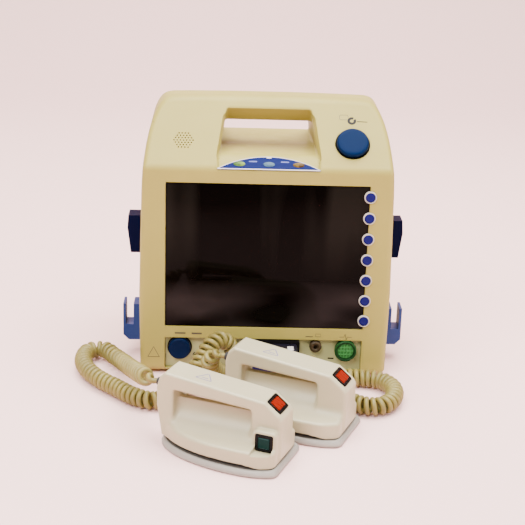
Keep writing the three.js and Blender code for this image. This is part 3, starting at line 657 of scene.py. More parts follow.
def side_field(x, z):
    """The case's outline from the front: nearly upright sides and rounded shoulders."""
    across = np.abs(x)
    edge = [(132.6, BODY_LOW), (133.9, 92.0), SHOULDER[0]]
    for i in range(1, 25):
        t = i / 24
        weights = ((1 - t) ** 3, 3 * t * (1 - t) ** 2, 3 * t * t * (1 - t), t ** 3)
        edge.append(tuple(sum(w * p[k] for w, p in zip(weights, SHOULDER)) for k in (0, 1)))
    field = line_field(across, z, edge[0], edge[1])
    for first, second in zip(edge[1:], edge[2:]):
        field = np.maximum(field, line_field(across, z, first, second))
    return field


def case_field(x, y, z):
    """The whole case as one solid block."""
    _, out = slope_coordinates(y, z)
    profile = both(3.0, both(5.0, out, z - BODY_HIGH), -y)
    profile = both(9.0, profile, line_field(y, z, (DEPTH, 221.0), (TOP_BACK_Y, BODY_HIGH)))
    profile = both(6.0, profile, y - DEPTH, BODY_LOW - z)
    return both(5.5, profile, side_field(x, z))


def grip_field(x, y, z):
    """The hand opening under the carry bar, with its trapezoid mouth in the sloped panel."""
    up, out = slope_coordinates(y, z)
    floor = line_field(y, z, (11.0, 241.2), (DEPTH, 237.0))
    half = 53.4 - 0.184 * (z - 233.0) + 0.035 * np.minimum(out, 0)
    bar = both(3.5, line_field(y, z, (53.8, 283.0), (70.5, 266.0)), 266.0 - z, y - 97.0)
    room = both(2.0, floor, np.abs(x) - half)
    room = both(3.0, room, -bar)
    arc = ARC_RADIUS - np.hypot(x, up - ARC_RISE + ARC_RADIUS)
    mouth = both(2.0, both(2.5, arc, -2.5 - out), np.abs(x) - (ARC_HALF - 0.123 * up) + 0.6)
    mouth = both(1.0, mouth, up - 64.0)
    return either(9.0, room, mouth)


def tray_field(x, y, z):
    """The recess that the connectors stand in."""
    return both(1.6, np.abs(x) - STRIP_HALF, STRIP_LOW - z, z - STRIP_HIGH) + 0 * y


def bore(x, y, z, radius, centre_x, centre_z, deepest):
    """A hole along Y at a place on the front."""
    return np.maximum(np.hypot(x - centre_x, z - centre_z) - radius, y - deepest)


def hollow_case(x, y, z):
    """The case's skin, with the hand opening, the connector tray and the knob's well let into it."""
    up, out = slope_coordinates(y, z)
    solid = without(1.6, case_field(x, y, z), grip_field(x, y, z))
    solid = without(0.7, solid, np.maximum(tray_field(x, y, z), y - STRIP_BACK - 3.4))
    knob = np.hypot(x - KNOB_X, up - KNOB_S) - KNOB_R - 0.8
    solid = without(0.6, solid, np.maximum(knob, -3.4 - out))
    wall = WALL + CROWN_EXTRA * np.clip((z - CROWN_Z) / 8.0, 0, 1)
    return np.maximum(solid, -(solid + wall))


def front_case(x, y, z):
    up, out = slope_coordinates(y, z)
    shape = np.maximum(hollow_case(x, y, z), y - SEAM_Y)
    screen = box_field(x, 0 * x, z, (-SCREEN_HALF_X - 0.3, -1, SCREEN_Z - SCREEN_HALF_Z - 0.3),
                       (SCREEN_HALF_X + 0.3, 1, SCREEN_Z + SCREEN_HALF_Z + 0.3), 0.8)
    shape = without(0.35, shape, np.maximum(screen, y - GLASS_SUNK - 1.2))
    shape = np.maximum(shape, -box_field(x, y, z, (-102, -9, SCREEN_Z - 75), (98.5, 9, SCREEN_Z + 75)))
    segment = np.maximum(np.hypot(x, up - ARC_RISE + ARC_RADIUS) - ARC_RADIUS - 0.3, -0.3 - up)
    shape = np.maximum(shape, -np.maximum(segment, -1.5 - out))
    shaft = np.hypot(x - KNOB_X, up - KNOB_S) - 5.0
    shape = np.maximum(shape, -np.maximum(shaft, np.abs(out) - 9))
    for centre_z in KEY_HEIGHTS:
        shape = np.maximum(shape, -bore(x, y, z, RING_R + 0.15, KEY_X, centre_z, 2.3))
        shape = np.maximum(shape, -bore(x, y, z, KEY_BORE, KEY_X, centre_z, 9.0))
    for centre_x, centre_z in SOCKETS.values():
        shape = np.maximum(shape, -bore(x, y, z, 8.6, centre_x, centre_z, 20.0))
    return shape


def rear_case(x, y, z):
    shape = np.maximum(hollow_case(x, y, z), SEAM_Y + 0.3 - y)
    low, high = node_box("battery_pack")
    shape = without(0.5, shape, box_field(x, y, z, (low[0] - 0.4, DEPTH - 9, low[2] - 0.4),
                                          (high[0] + 0.4, DEPTH + 9, high[2] + 0.4)))
    low, high = node_box("mains_inlet")
    shape = np.maximum(shape, -box_field(x, y, z, (low[0] - 0.3, DEPTH - 9, low[2] - 0.3),
                                         (high[0] + 0.3, DEPTH + 9, high[2] + 0.3)))
    for row in range(VENT_ROWS):
        middle = VENT_LOW + VENT_PITCH * row
        slot = np.hypot(np.maximum(np.abs(x) - VENT_HALF, 0), z - middle) - VENT_R
        shape = without(0.5, shape, np.maximum(slot, DEPTH - 9 - y))
    for centre_x, centre_z in SCREW_SPOTS:
        head = np.hypot(x - centre_x, z - centre_z) - 4.3
        shape = without(0.5, shape, np.maximum(head, DEPTH - 2.0 - y))
    return shape


def speaker_spots():
    """Hole centres of the speaker grille, on a staggered grid inside a circle."""
    pitch, reach, spots = 3.3, 11.3, []
    rows = int(reach / pitch)
    for row in range(-rows - 1, rows + 2):
        for column in range(-rows - 1, rows + 2):
            x = pitch * (column + (0.5 if row % 2 else 0))
            up = pitch * 0.87 * row
            if math.hypot(x, up) < reach:
                spots.append((SPEAKER_X + x, SPEAKER_S + up))
    return spots


def drill_speaker(housing):
    """Cuts the grille's real holes."""
    pins = []
    for x, up in speaker_spots():
        pin = lathe([(0, -6), (0.88, -6), (0.88, 3), (0, 3)], 8, 0)
        pins.append(moved(SLOPE @ Matrix.Translation((x, up, 0)), pin))
    cutter = make_piece("pins", *join(*pins), housing.data.materials[0], None, None)
    drill = housing.modifiers.new("drill", "BOOLEAN")
    drill.operation = "DIFFERENCE"
    drill.solver = "EXACT"
    drill.object = cutter
    settle(housing)
    bpy.data.objects.remove(cutter)
    shade(housing, 38)


def make_case():
    cream = moulded("case_cream", CREAM, roughness=0.46, grain=1500, depth=0.00005, patch=0.03,
                    specular=0.3, ageing=(CREAM[0] * 0.97, CREAM[1] * 0.93, CREAM[2] * 0.82))
    front_low, front_high = (-CASE_REACH, 0, BODY_LOW), (CASE_REACH, SEAM_Y, BODY_HIGH)
    rear_low, rear_high = (-CASE_REACH, SEAM_Y, BODY_LOW), (CASE_REACH, DEPTH, BODY_HIGH)
    front = field_piece("front_cover", front_case, front_low, front_high, CASE_STEP, CASE_KEEP, cream, "unit",
                        "cream_plastic")
    drill_speaker(front)
    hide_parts("front_housing")
    rear = field_piece("rear_cover", rear_case, rear_low, rear_high, CASE_STEP, CASE_KEEP, cream, "unit",
                       "cream_plastic")
    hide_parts("rear_housing")


STEEL = brushed_metal()


# ---------------------------------------------------------------- screen and keys
def make_screen():
    pane = slab(SCREEN_HALF_X, SCREEN_HALF_Z, 0.8, -GLASS_SUNK - 0.9, -GLASS_SUNK, 0.15, 0, SCREEN_Z)
    add_piece("display_glass", pane, screen_glass(), slot="screen_glass", node="screen_window", at=FACING)
    dress_node("lcd_module", moulded("display_black", (0.012, 0.012, 0.013), 0.6), 0.3)
    board = circuit_board()
    dress_node("soft_key_board", board, 0.3)
    dress_node("main_board", board, 0.3)


def make_keys():
    white = moulded("key_ring_white", (0.55, 0.48, 0.42), 0.38, grain=1800, depth=0.00003)
    blue = moulded("key_cap_blue", (0.005, 0.004, 0.088), 0.36, grain=2000, depth=0.00003, specular=0.10)
    ring = ring_lathe([(BORE_R, -2.0), (RING_R, -2.0), (RING_R, 1.35), (RING_R - 0.8, 1.75),
                       (BORE_R, 1.35)], 40, 0.35)
    cap = lathe([(0, -6), (5.0, -6), (5.0, 1.6), (3.9, 2.15), (1.6, 1.95), (0, 1.9)], 40, 0.5)
    spots = [on_front(KEY_X, z) for z in KEY_HEIGHTS]
    rings = join(*[moved(at, ring) for at in spots])
    add_piece("soft_key_rings", rings, white, slot="key_ring_plastic", node="soft_key_bezel")
    for i, at in enumerate(spots, 1):
        add_piece(f"key_cap_{i}", cap, blue, f"soft_key_{i}_cap", "key_blue", f"soft_key_{i}", at)


# ---------------------------------------------------------------- indicator panel, knob and speaker
# A lens: its node, place along the panel, slot, tint, and the paler tint mottled into it
LENSES = (
    ("indicator_ready", -30.7, "lens_green", (0.035, 0.085, 0.012), (0.13, 0.21, 0.035)),
    ("indicator_mains", 0.0, "lens_white", (0.014, 0.036, 0.085), (0.05, 0.10, 0.15)),
    ("indicator_alarm", 30.7, "lens_amber", (0.045, 0.019, 0.001), (0.20, 0.115, 0.006)),
)
LENS_HALF_X, LENS_HALF_Y, LENS_Y = 6.1, 2.95, 5.9
LENS_STEPS = ((1, -1.2), (1, 0.6), (0.93, 0.92), (0.75, 1.05), (0.4, 1.15))     # share of the oval, height


def lens(x, sides=40):
    """A low oval dome on the indicator panel."""
    angles = np.linspace(0, 2 * np.pi, sides, endpoint=False)
    rings = []
    for share, height in LENS_STEPS:
        across, up = x + LENS_HALF_X * share * np.cos(angles), LENS_Y + LENS_HALF_Y * share * np.sin(angles)
        rings.append(np.column_stack([across, up, np.full(sides, height)]))
    return loft(rings)


def arc_points(half, rise, steps=40):
    """A circle segment's outline in (x, up), flat side down."""
    radius = (half * half + rise * rise) / (2 * rise)
    reach = math.asin(half / radius)
    return [(radius * math.sin(a), rise - radius + radius * math.cos(a))
            for a in (reach - 2 * reach * i / steps for i in range(steps + 1))]


def plate(points, low, high, edge=0.25):
    """A flat plate from a convex outline, its top edge eased."""
    line = np.array(points, float)
    middle = line.mean(0)
    span = np.abs(line - middle).max(0)
    rings = [np.column_stack([line, np.full(len(line), low)])]
    for inset, height in ((0.0, high - edge), (edge * 0.3, high - edge * 0.3), (edge, high)):
        shrunk = middle + (line - middle) * (1 - inset / span)
        rings.append(np.column_stack([shrunk, np.full(len(line), height)]))
    return loft(rings)


def make_indicators():
    outer = arc_points(ARC_HALF - 0.2, ARC_RISE + 0.1)
    inner = arc_points(ARC_HALF - 1.4, ARC_RISE - 0.6)
    blue = moulded("panel_blue", (0.004, 0.009, 0.075), 0.40, grain=1700, depth=0.00003, specular=0.06)
    white = moulded("print_white", (0.50, 0.44, 0.48), 0.45)
    pale = moulded("print_pale_blue", (0.06, 0.075, 0.30), 0.45)
    face = plate(outer, -1.3, 0.45)
    add_piece("indicator_face", face, blue, slot="panel_blue", node="indicator_panel", at=SLOPE)
    edge = np.array([(*point, 0.50) for pair in zip(outer, inner) for point in pair])
    faces = [(2 * i, 2 * i + 2, 2 * i + 3, 2 * i + 1) for i in range(len(outer) - 1)]
    bars = join(*[slab(4.2, 0.75, 0.6, 0.40, 0.53, 0.05, x, 9.0) for x in (-16.5, 16.5)])
    add_piece("indicator_bars", bars, pale, at=SLOPE)
    lines = join((edge, faces), stroke([(0.6 - ARC_HALF, -0.1), (ARC_HALF - 0.6, -0.1)], 1.1, 0.1, 0.5),
                 slab(2.6, 0.9, 0.8, 0.40, 0.60, 0.1, 0, ARC_RISE - 1.2))
    add_piece("indicator_lines", lines, white, at=SLOPE)
    for name, x, slot, colour, glow in LENSES:
        tint = lens_finish(name + "_tint", colour, glow)
        add_piece(name + "_lens", lens(x), tint, slot=slot, node=name, at=SLOPE)


def make_knob():
    at = SLOPE @ Matrix.Translation((KNOB_X, KNOB_S, 0))
    blue = moulded("knob_blue", (0.0008, 0.0100, 0.044), 0.40, grain=1400, depth=0.00004, specular=0.04)
    black = moulded("well_black", (0.003, 0.003, 0.003), 0.5, specular=0.12)
    points, faces = lathe([(0, 0.6), (KNOB_R - 1.5, 0.6), (KNOB_R - 0.7, 1.4), (KNOB_R - 0.9, 4.6),
                           (KNOB_R - 2.2, 5.9), (KNOB_R - 4.6, 6.3), (0, 6.4)], 96, 1.2)
    add_piece("energy_dial", (dimple(points), faces), blue, "knob", "knob_blue", "energy_knob", at, 50)
    well = lathe([(0, -3.1), (KNOB_R + 0.6, -3.1), (KNOB_R + 0.6, -0.1), (KNOB_R + 0.1, -0.1),
                  (KNOB_R - 0.1, -1.6), (0, -1.6)], 72, 0.2)
    add_piece("knob_seat", well, black, slot="dark_plastic", node="knob_well", at=at)
    dress_node("speaker", black, 0.4)


def dimple(points):
    """The dial's finger hollow, pressed into its top towards the left."""
    centre, reach, depth, top_from = np.array([-6.5, 1.5]), 6.0, 0.9, 6.0
    away = np.linalg.norm(points[:, :2] - centre, axis=1)
    sink = depth * np.clip(1 - (away / reach) ** 2, 0, 1) ** 1.5
    return points - np.column_stack([np.zeros((len(points), 2)), sink * (points[:, 2] > top_from)])


# ---------------------------------------------------------------- printed marks
INK = 0.12                       # how far a printed or applied mark stands off its face


def stroke(points, width, low=0.02, high=INK):
    """A flat line of the given width through 2D points, in a frame whose z is out of the face."""
    line = np.array(points, float)
    along = np.gradient(line, axis=0)
    along /= np.linalg.norm(along, axis=1)[:, None]
    across = np.column_stack([-along[:, 1], along[:, 0]]) * width / 2
    left, right = line + across, line - across
    vertices, faces = [], []
    for a, b in zip(left, right):
        vertices += [(*a, low), (*b, low), (*b, high), (*a, high)]
    for i in range(len(line) - 1):
        p, q = 4 * i, 4 * i + 4
        faces += [(p + k, q + k, q + (k + 1) % 4, p + (k + 1) % 4) for k in range(4)]
    faces += [(0, 1, 2, 3), tuple(reversed(range(len(vertices) - 4, len(vertices))))]
    return np.array(vertices), faces


def circle_points(x, y, radius, start=0.0, stop=360.0, steps=40):
    angles = [math.radians(start + (stop - start) * i / steps) for i in range(steps + 1)]
    return [(x + radius * math.cos(a), y + radius * math.sin(a)) for a in angles]


def make_marks():
    """Plain line marks beside the controls. They stand where the unit has symbols, and say nothing."""
    ink = moulded("ink_grey", (0.010, 0.008, 0.008), 0.55, specular=0.2)
    pale = moulded("ink_pale", (0.065, 0.052, 0.03), 0.55)
    dial = join(stroke(circle_points(87.0, 61.8, 3.3, 60, 395), 2.7),
                stroke([(92.5, 61.2), (103.5, 60.8)], 0.8))
    add_piece("dial_mark", dial, ink, at=SLOPE)
    box = stroke([(82.0, 63.0), (75.0, 63.0), (74.2, 64.0), (74.2, 68.0), (75.2, 69.0), (82.5, 69.0),
                  (83.3, 68.0), (83.0, 66.0)], 0.5)
    add_piece("dial_box_mark", box, pale, at=SLOPE)
    left_foot, right_foot, tip = (-124.4, 19.4), (-111.8, 19.4), (-118.1, 31.2)
    marks = join(
        stroke([(-124.6, 19.6), (-111.6, 19.6)], 0.6),
        stroke([right_foot, tip], 0.6), stroke([tip, left_foot], 0.6),
        stroke([(-95.5, 47.6), (-84.0, 47.6)], 1.8), stroke([(-77.5, 47.4), (-66.5, 47.4)], 2.0),
        stroke([(45.0, 46.2), (53.0, 46.2)], 0.9),
        stroke([(55.8, 46.2), (55.8, 49.4), (61.2, 49.4), (61.2, 46.2), (55.8, 46.2)], 0.5),
        stroke([(81.5, 46.3), (86.4, 46.3), (87.6, 50.0), (89.0, 43.2), (90.2, 46.4), (95.0, 46.0)], 0.55))
    add_piece("front_marks", marks, pale, at=FACING)
    on_strip = join(
        stroke(circle_points(-73.3, 20.4, 2.4, 100, 260), 0.9), stroke([(-74.8, 20.4), (-70.4, 20.4)], 1.5),
        stroke(circle_points(-72.6, 20.4, 2.4, -60, 60), 0.7), stroke([(70.5, 19.0), (77.0, 18.8)], 1.7))
    add_piece("strip_marks", on_strip, ink, at=Matrix.Translation((0, STRIP_BACK, 0)) @ FACING)


# ---------------------------------------------------------------- connector strip
SOCKET_R = 11.8                                  # the two larger sockets
SOCKET_FLOOR, SOCKET_BACK = -5.7, -14            # the strip's face, and the sockets' roots behind it


def make_connectors():
    black = moulded("socket_black", (0.004, 0.0035, 0.0035), 0.42, grain=1500, specular=0.15)
    navy = moulded("cap_navy", (0.0012, 0.0070, 0.032), 0.45, grain=1100, depth=0.00006, specular=0.06)
    brown = moulded("jack_brown", (0.040, 0.025, 0.011), 0.4, grain=1300, specular=0.2)
    green = moulded("socket_green", (0.006, 0.050, 0.009), 0.36, grain=1500, specular=0.12)
    light_green = moulded("insert_green", (0.050, 0.22, 0.055), 0.38, grain=1500, specular=0.12)
    dress_node("connector_panel", moulded("strip_tan", (0.38, 0.38, 0.165), 0.5, grain=1300), 0.3)
    dress_node("paddle_socket", black, 0.5)
    oximeter, jack, ecg = (on_front(*SOCKETS[name]) for name in ("oximeter", "jack", "ecg"))
    root = [(0, SOCKET_BACK), (8, SOCKET_BACK), (8, SOCKET_FLOOR), (SOCKET_R, SOCKET_FLOOR)]

    cap = lathe([*root, (SOCKET_R, 1.1), (10.7, 2.0), (6.5, 1.6), (0, 1.4)], 72, 0.7)
    add_piece("oximeter_cap", cap, navy, slot="socket_navy", node="oximeter_socket", at=oximeter)
    barrel = lathe([(0, SOCKET_BACK), (4.5, SOCKET_BACK), (4.5, SOCKET_FLOOR), (6.6, SOCKET_FLOOR),
                    (6.6, -1.2),
                    (5.2, 0.4), (3.6, 0.4), (2.3, -0.4), (2.3, -5), (0, -5)], 40, 0.35)
    add_piece("jack_barrel", barrel, brown, slot="socket_brown", node="output_jack", at=jack)
    shroud = lathe([*root, (SOCKET_R, 0.9), (11.1, 1.5), (10.0, 1.6), (9.4, 1.2), (9.4, -2.5), (0, -2.5)],
                   72, 0.3)
    add_piece("ecg_shroud", shroud, green, slot="socket_green", node="ecg_socket", at=ecg)
    shadow = ring_lathe([(11.9, -5.9), (13.3, -5.9), (13.3, -5.1), (11.9, -4.6)], 72, 0.2)
    lip = ring_lathe([(9.3, 0.6), (10.6, 1.5), (10.6, 1.72), (9.3, 1.2)], 72, 0.1)
    add_piece("socket_shadow_rings", join(moved(oximeter, shadow), moved(ecg, lip)), black)

    def chord(at):
        return math.sqrt(64 - at * at)

    insert = [lathe([(0, -2.1), (8.9, -2.1), (8.9, -0.9), (0, -0.9)], 48, 0.3)]
    insert += [slab(0.55, chord(at), 0.2, -1.1, 0.4, 0.2, at, 0) for at in (-4.8, -1.6, 1.6, 4.8)]
    insert += [slab(chord(at), 0.5, 0.2, -1.1, 0.2, 0.2, 0, at) for at in (-4.0, 0.0, 4.0)]
    add_piece("ecg_contacts", join(*insert), light_green, slot="socket_green", node="ecg_pin_block", at=ecg)


def make_plug():
    """The shared plug that both paddle cords run from."""
    low, high = PLUG_LOW, PLUG_HIGH
    middle_x, half_x, half_z = (low[0] + high[0]) / 2, (high[0] - low[0]) / 2, (high[2] - low[2]) / 2
    front, back = -low[1], -high[1]
    at = on_front(middle_x, PLUG_MID_Z)
    blue = moulded("plug_blue", (0.022, 0.016, 0.085), 0.40, grain=1300, specular=0.2)
    dark = moulded("plug_dark", (0.006, 0.005, 0.012), 0.42, grain=1300, specular=0.15)
    shell = slab(half_x - 5.5, half_z - 0.6, 3.0, back, front - 0.4, 1.6, 0, -0.6)
    add_piece("plug_body", shell, blue, slot="panel_blue", node="paddle_plug", at=at)
    cheeks = [slab(4.2, half_z - 0.2, 2.6, back, front - 1.4, 1.4, side * (half_x - 4.2)) for side in (-1, 1)]
    cheeks.append(slab(half_x - 8.0, 1.9, 0.8, back + 1.5, front - 1.0, 0.7, 0, half_z - 1.9))
    boot = lathe([(0, -2), (5.6, -2), (5.6, 1.5), (4.9, 2.4), (5.2, 3.6), (4.3, 4.6), (4.6, 5.8), (3.5, 7.6),
                  (0, 7.6)], 32, 0.5)
    for side, height, out in ((-1, 28 - PLUG_MID_Z, 13), (1, 0, 12)):
        turn = Matrix.Rotation(side * math.pi / 2, 4, "Y")
        cheeks.append(moved(Matrix.Translation((side * half_x, height, out)) @ turn, boot))
    add_piece("plug_cheeks_and_boots", join(*cheeks), dark, at=at)
    label = slab(3.2, 5.2, 0.5, high[2] - 0.1, high[2] + 0.2, 0.1, high[0] - 7.5, low[1] + 6.4)
    add_piece("plug_label", label, moulded("label_white", (0.70, 0.64, 0.60), 0.5))


# ---------------------------------------------------------------- holders, feet, inside and back
def on_back(node, out=0.0):
    """A frame at the middle of a node's back face, z away from the unit."""
    low, high = node_box(node)
    return Matrix.Translation(((low[0] + high[0]) / 2, high[1] + out, (low[2] + high[2]) / 2)) @ REARWARD


def make_holders():
    cradle = moulded("holder_blue", (0.022, 0.041, 0.155), 0.44, specular=0.16, grain=1100, depth=0.00006)
    # The clips' navy is much darker than the cradles' blue: painted shade for the clips' fronts, which sit in
    # shade.
    clip = moulded("clip_navy_painted_shade", (0.0008, 0.0018, 0.018), 0.46, specular=0.03, grain=1100, depth=0.00006)
    for side in ("left", "right"):
        dress_node(f"{side}_lower_cradle", cradle, 1.1)
        dress_node(f"{side}_upper_clip", clip, 1.1)


def make_feet():
    rubber = moulded("foot_rubber", (0.020, 0.019, 0.018), 0.75, grain=700, depth=0.0001)
    foot = lathe([(0, 0.5), (4.5, 0.5), (5.2, 0), (8.1, 0), (9, 0.9), (9, 2.7), (0, 2.7)], 48, 0.4)
    for i in range(1, 5):
        low, high = node_box(f"foot_{i}")
        at = Matrix.Translation(((low[0] + high[0]) / 2, (low[1] + high[1]) / 2, 0))
        add_piece(f"foot_pad_{i}", foot, rubber, slot="black_rubber", node=f"foot_{i}", at=at)


def make_back_and_inside():
    for node in ("encoder_shaft", "rotary_encoder", "chassis_frame", "power_supply"):
        dress_node(node, STEEL, 0.4)
    dress_node("hv_capacitor", moulded("can_blue", (0.05, 0.09, 0.20), 0.3, grain=1500), 1.5)
    dress_node("mains_inlet", moulded("inlet_black", (0.014, 0.014, 0.015), 0.45, grain=1200), 0.5)
    grey = moulded("pack_grey", (0.045, 0.045, 0.05), 0.5, grain=900)
    dress_node("battery_pack", grey, 0.8)
    ribs = join(*[slab(18, 0.8, 0.7, 0, 0.7, 0.3, 0, 4.0 * k) for k in (-2, -1, 0, 1, 2)])
    add_piece("battery_grip_ribs", ribs, grey, "battery", at=on_back("battery_pack", -0.1))
    pins = join(*[slab(1.0, 2.0, 0.4, -8.9, -1.6, 0.3, x, z) for x, z in ((-7, -1.5), (0, 2.6), (7, -1.5))])
    add_piece("inlet_pins", pins, STEEL, at=on_back("mains_inlet"))
    head = lathe([(0, -1.95), (3.7, -1.95), (3.7, -0.7), (3.0, -0.25), (1.5, -0.25), (1.2, -1.3),
                  (0, -1.3)], 24, 0.15)
    heads = join(*[moved(Matrix.Translation((x, DEPTH, z)) @ REARWARD, head) for x, z in SCREW_SPOTS])
    add_piece("case_screw_heads", heads, STEEL)


# ---------------------------------------------------------------- paddles
SHELL_LOW, RIM_TOP, HUMP_TOP = 10.5, 23.0, 49.5
HANDLE_HALF = 16.5
HANDLE_SIDE = ((-26.0, 11.5), (96.0, 11.5), (96.0, 50.0), (93.5, 54.0), (78.5, 65.5), (-22.0, 76.8),
               (-28.0, 71.5), (-31.3, 61.0), (-31.0, 42.0))
SHOCK_TILT = math.atan2(11.5, 15.0)
BOSS_X, BOSS_Z, BOSS_FRONT = 82.5, 29.0, -24.0
GRIP_FROM, GRIP_TO = -14, 66                     # the finger gap under the handle, along the paddle
GRIP_TOP, GRIP_FALL = 60.5, 5.0                  # its upper edge, and how far that falls on the way
SHOCK_X, SHOCK_Z = 86.0, 59.75
KEY_POCKET = 5.3                                 # how deep a button's frame sits
SHOCK_AT = Matrix.Translation((SHOCK_X, 0, SHOCK_Z)) @ Matrix.Rotation(SHOCK_TILT, 4, "Y")
CHARGE_AT = Matrix.Translation((BOSS_X, BOSS_FRONT, BOSS_Z)) @ Matrix.Rotation(math.pi / 2, 4, "X")
TOP_TILT = math.atan2(11.3, 100.5)
TOP_AT = Matrix.Translation((-22.0, 0, 76.8)) @ Matrix.Rotation(TOP_TILT, 4, "Y")


def sole_outline(inset, steps=22):
    """The paddle's footprint, pointed at the cord end and squared at the other, counter-clockwise."""
    edge = []
    for i in range(1, steps):
        a = math.pi / 2 * i / steps
        edge.append((58 - (89 - inset) * math.cos(a), (43 - inset) * math.sin(a)))
    end, half = 98.5 - inset, 36 - inset
    knots = ((58, 43 - inset), (78, 43 - inset), (end - 7, half + 1))
    for i in range(7):
        t = i / 6
        weights = ((1 - t) ** 2, 2 * t * (1 - t), t * t)
        edge.append(tuple(sum(w * p[k] for w, p in zip(weights, knots)) for k in (0, 1)))
    edge += [(end - 4.2, half - 0.5), (end - 2.1, half - 2.15), (end - 0.6, half - 4.4), (end, half - 7)]
    return [(-31 + inset, 0), *edge, *[(x, -y) for x, y in reversed(edge)]][::-1]


RIM_OUTLINE = sole_outline(4.5)


def paddle_field(charge):
    def field(x, y, z):
        foot = outline_field(x, y, RIM_OUTLINE)
        lifted = SHELL_LOW - 3.0 * np.clip((x - 66) / 18, 0, 1)
        rim = both(2.5, foot, z - RIM_TOP)
        across = np.abs(y)
        cove = 28.0 * (1.0 - np.hypot((38 - across) / 34.5, (HUMP_TOP - z) / 27.0))
        hump = both(1.5, z - HUMP_TOP, across - 38, np.where(across > 38, across - 38, cove))
        hump = both(3.0, hump, foot)
        lower = both(1.0, either(2.5, rim, hump), lifted - z)
        bar_low = GRIP_TOP - GRIP_FALL * (x - GRIP_FROM) / (GRIP_TO - GRIP_FROM)
        gap = both(3.0, GRIP_FROM - x, x - GRIP_TO, z - bar_low) + 0 * y
        loop = both(2.4, outline_field(x, z, HANDLE_SIDE), across - HANDLE_HALF)
        loop = without(2.6, loop, gap)
        body = either(4.0, lower, loop)
        opening = both(1.0, GRIP_FROM + 1 - x, x - (GRIP_TO - 1), z - bar_low - 0.3)
        body = np.maximum(body, -np.maximum(opening, HUMP_TOP + 0.3 - z))
        if charge:
            u, v, out = np.abs(x - BOSS_X), np.abs(z - BOSS_Z), BOSS_FRONT - y
            boss = both(2.0, both(5.0, u - 11.9, v - 11.5), out, y + 8)
            body = either(1.5, body, boss)
            pocket = np.maximum(both(2.0, u - 9.0, v - 8.8), -KEY_POCKET - out)
            body = np.maximum(body, -pocket)
        c, s = math.cos(SHOCK_TILT), math.sin(SHOCK_TILT)
        u = (x - SHOCK_X) * c - (z - SHOCK_Z) * s
        out = (x - SHOCK_X) * s + (z - SHOCK_Z) * c
        pocket = np.maximum(both(2.0, np.abs(u) - 8.8, across - 11.3), -KEY_POCKET - out)
        body = np.maximum(body, -pocket)
        return np.maximum(body, -np.maximum(np.hypot(y, z - CORD_EXIT_Z) - 3.9, x + 25.0))
    return field


def frame_ring(half_x, half_y, width, low, floor, high):
    """A deep rectangular frame with a floor, its upper edges rounded."""
    rings = [(0.3, low), (0, low + 0.3), (0, high - 0.5), (0.15, high - 0.15), (0.5, high),
             (width - 0.6, high),
             (width - 0.15, high - 0.2), (width, high - 0.7), (width, floor)]
    return loft([rect_ring(half_x - inset, half_y - inset, max(2.2 - inset * 0.6, 0.6), z)
                 for inset, z in rings])


def rocker(half_x, half_y, low, high):
    """A push cap, gently dished across."""
    vertices, faces = slab(half_x, half_y, 1.0, low, high, 0.8, steps=4)
    top = vertices[:, 2] > high - 0.01
    bulge = 0.35 * (vertices[:, 1] / half_y)
    vertices[:, 2] += np.where(top, bulge, 0)
    return vertices, faces


def sole_layers(*steps):
    """A skin through the sole's outline at (inset, height) steps."""
    return loft([[(*p, z) for p in sole_outline(inset)] for inset, z in steps])


def make_paddle(name, x, y, charge, finishes):
    at = Matrix.Translation((x, y, 0)) @ Matrix.Rotation(PADDLE_TURN, 4, "Z")
    shell = field_piece(name + "_body", paddle_field(charge), (-33, -40, 6.5), (96, 40, 78), 1.35, 0.4,
                        finishes["shell"], name, "paddle_plastic", matrix=at, smooth_angle=40)
    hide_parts(name + "_shell")
    base = sole_layers((5.2, 2.1), (5.2, 0.8), (0.9, 0.8), (0.25, 1.1), (0, 1.7), (0, 3.1), (0.25, 3.7),
                       (1.6, 6.0), (2.0, 6.4), (2.6, 6.6), (14, 6.6), (14, 7.2))
    add_piece(name + "_base", base, finishes["sole"], name, "paddle_plastic", name + "_sole", at)
    # The neck is painted dark grey: painted shade for the groove between the shell's rim and the sole.
    neck = sole_layers((4.3, 6.5), (4.3, 6.75), (9, 6.9), (9, 10.2), (11, 10.2))
    add_piece(name + "_neck", neck, finishes["shade"], name, at=at)
    electrode = sole_layers((5.6, 0), (5.3, 0.1), (5.0, 0.4), (5.0, 1.8))
    add_piece(name + "_plate", electrode, STEEL, name, "bare_metal", name + "_electrode", at)
    boot = lathe([(0, -6), (3.6, -6), (3.6, 0.4), (5.4, 0.4), (5.4, 1.3), (4.9, 1.7), (5.3, 2.1), (5.2, 2.8),
                  (4.5, 3.1), (4.8, 3.6), (4.6, 4.3), (4.0, 4.6), (4.2, 5.1), (3.7, 6.0), (0, 6.0)], 40, 0.2)
    leave = Matrix.Translation((CORD_EXIT_X + 6, 0, CORD_EXIT_Z)) @ Matrix.Rotation(-math.pi / 2, 4, "Y")
    add_piece(name + "_cord_boot", boot, finishes["rubber"], name, "black_rubber", name + "_cord_grommet",
              at @ leave)
    buttons = [("shock", SHOCK_AT, 8.5, 11.0, "shock_orange")]
    if charge:
        buttons.append(("charge", CHARGE_AT, 8.7, 8.5, "charge_teal"))
    for kind, spot, half_x, half_y, slot in buttons:
        button = f"{name}_{kind}"
        bezel = frame_ring(half_x, half_y, 2.7, -5.0, -3.4, 0.9)
        add_piece(button + "_frame", bezel, finishes["black"], name, "dark_plastic", button + "_bezel",
                  at @ spot)
        cap = rocker(half_x - 3.0, half_y - 3.0, -1.2, 1.2)
        add_piece(button + "_cap", cap, finishes[slot], button + "_key", slot, button + "_button", at @ spot)
    outline = [(27.6, -6.2), (42.4, -6.2), (42.8, -5.4), (35.8, 6.2), (34.4, 6.2), (27.2, -5.4),
               (27.6, -6.2)]
    mark = join(stroke(outline, 0.9), stroke([(31.8, -2.6), (38.4, -2.6)], 0.9))
    add_piece(name + "_top_mark", mark, finishes["violet"], name, at=at @ TOP_AT)


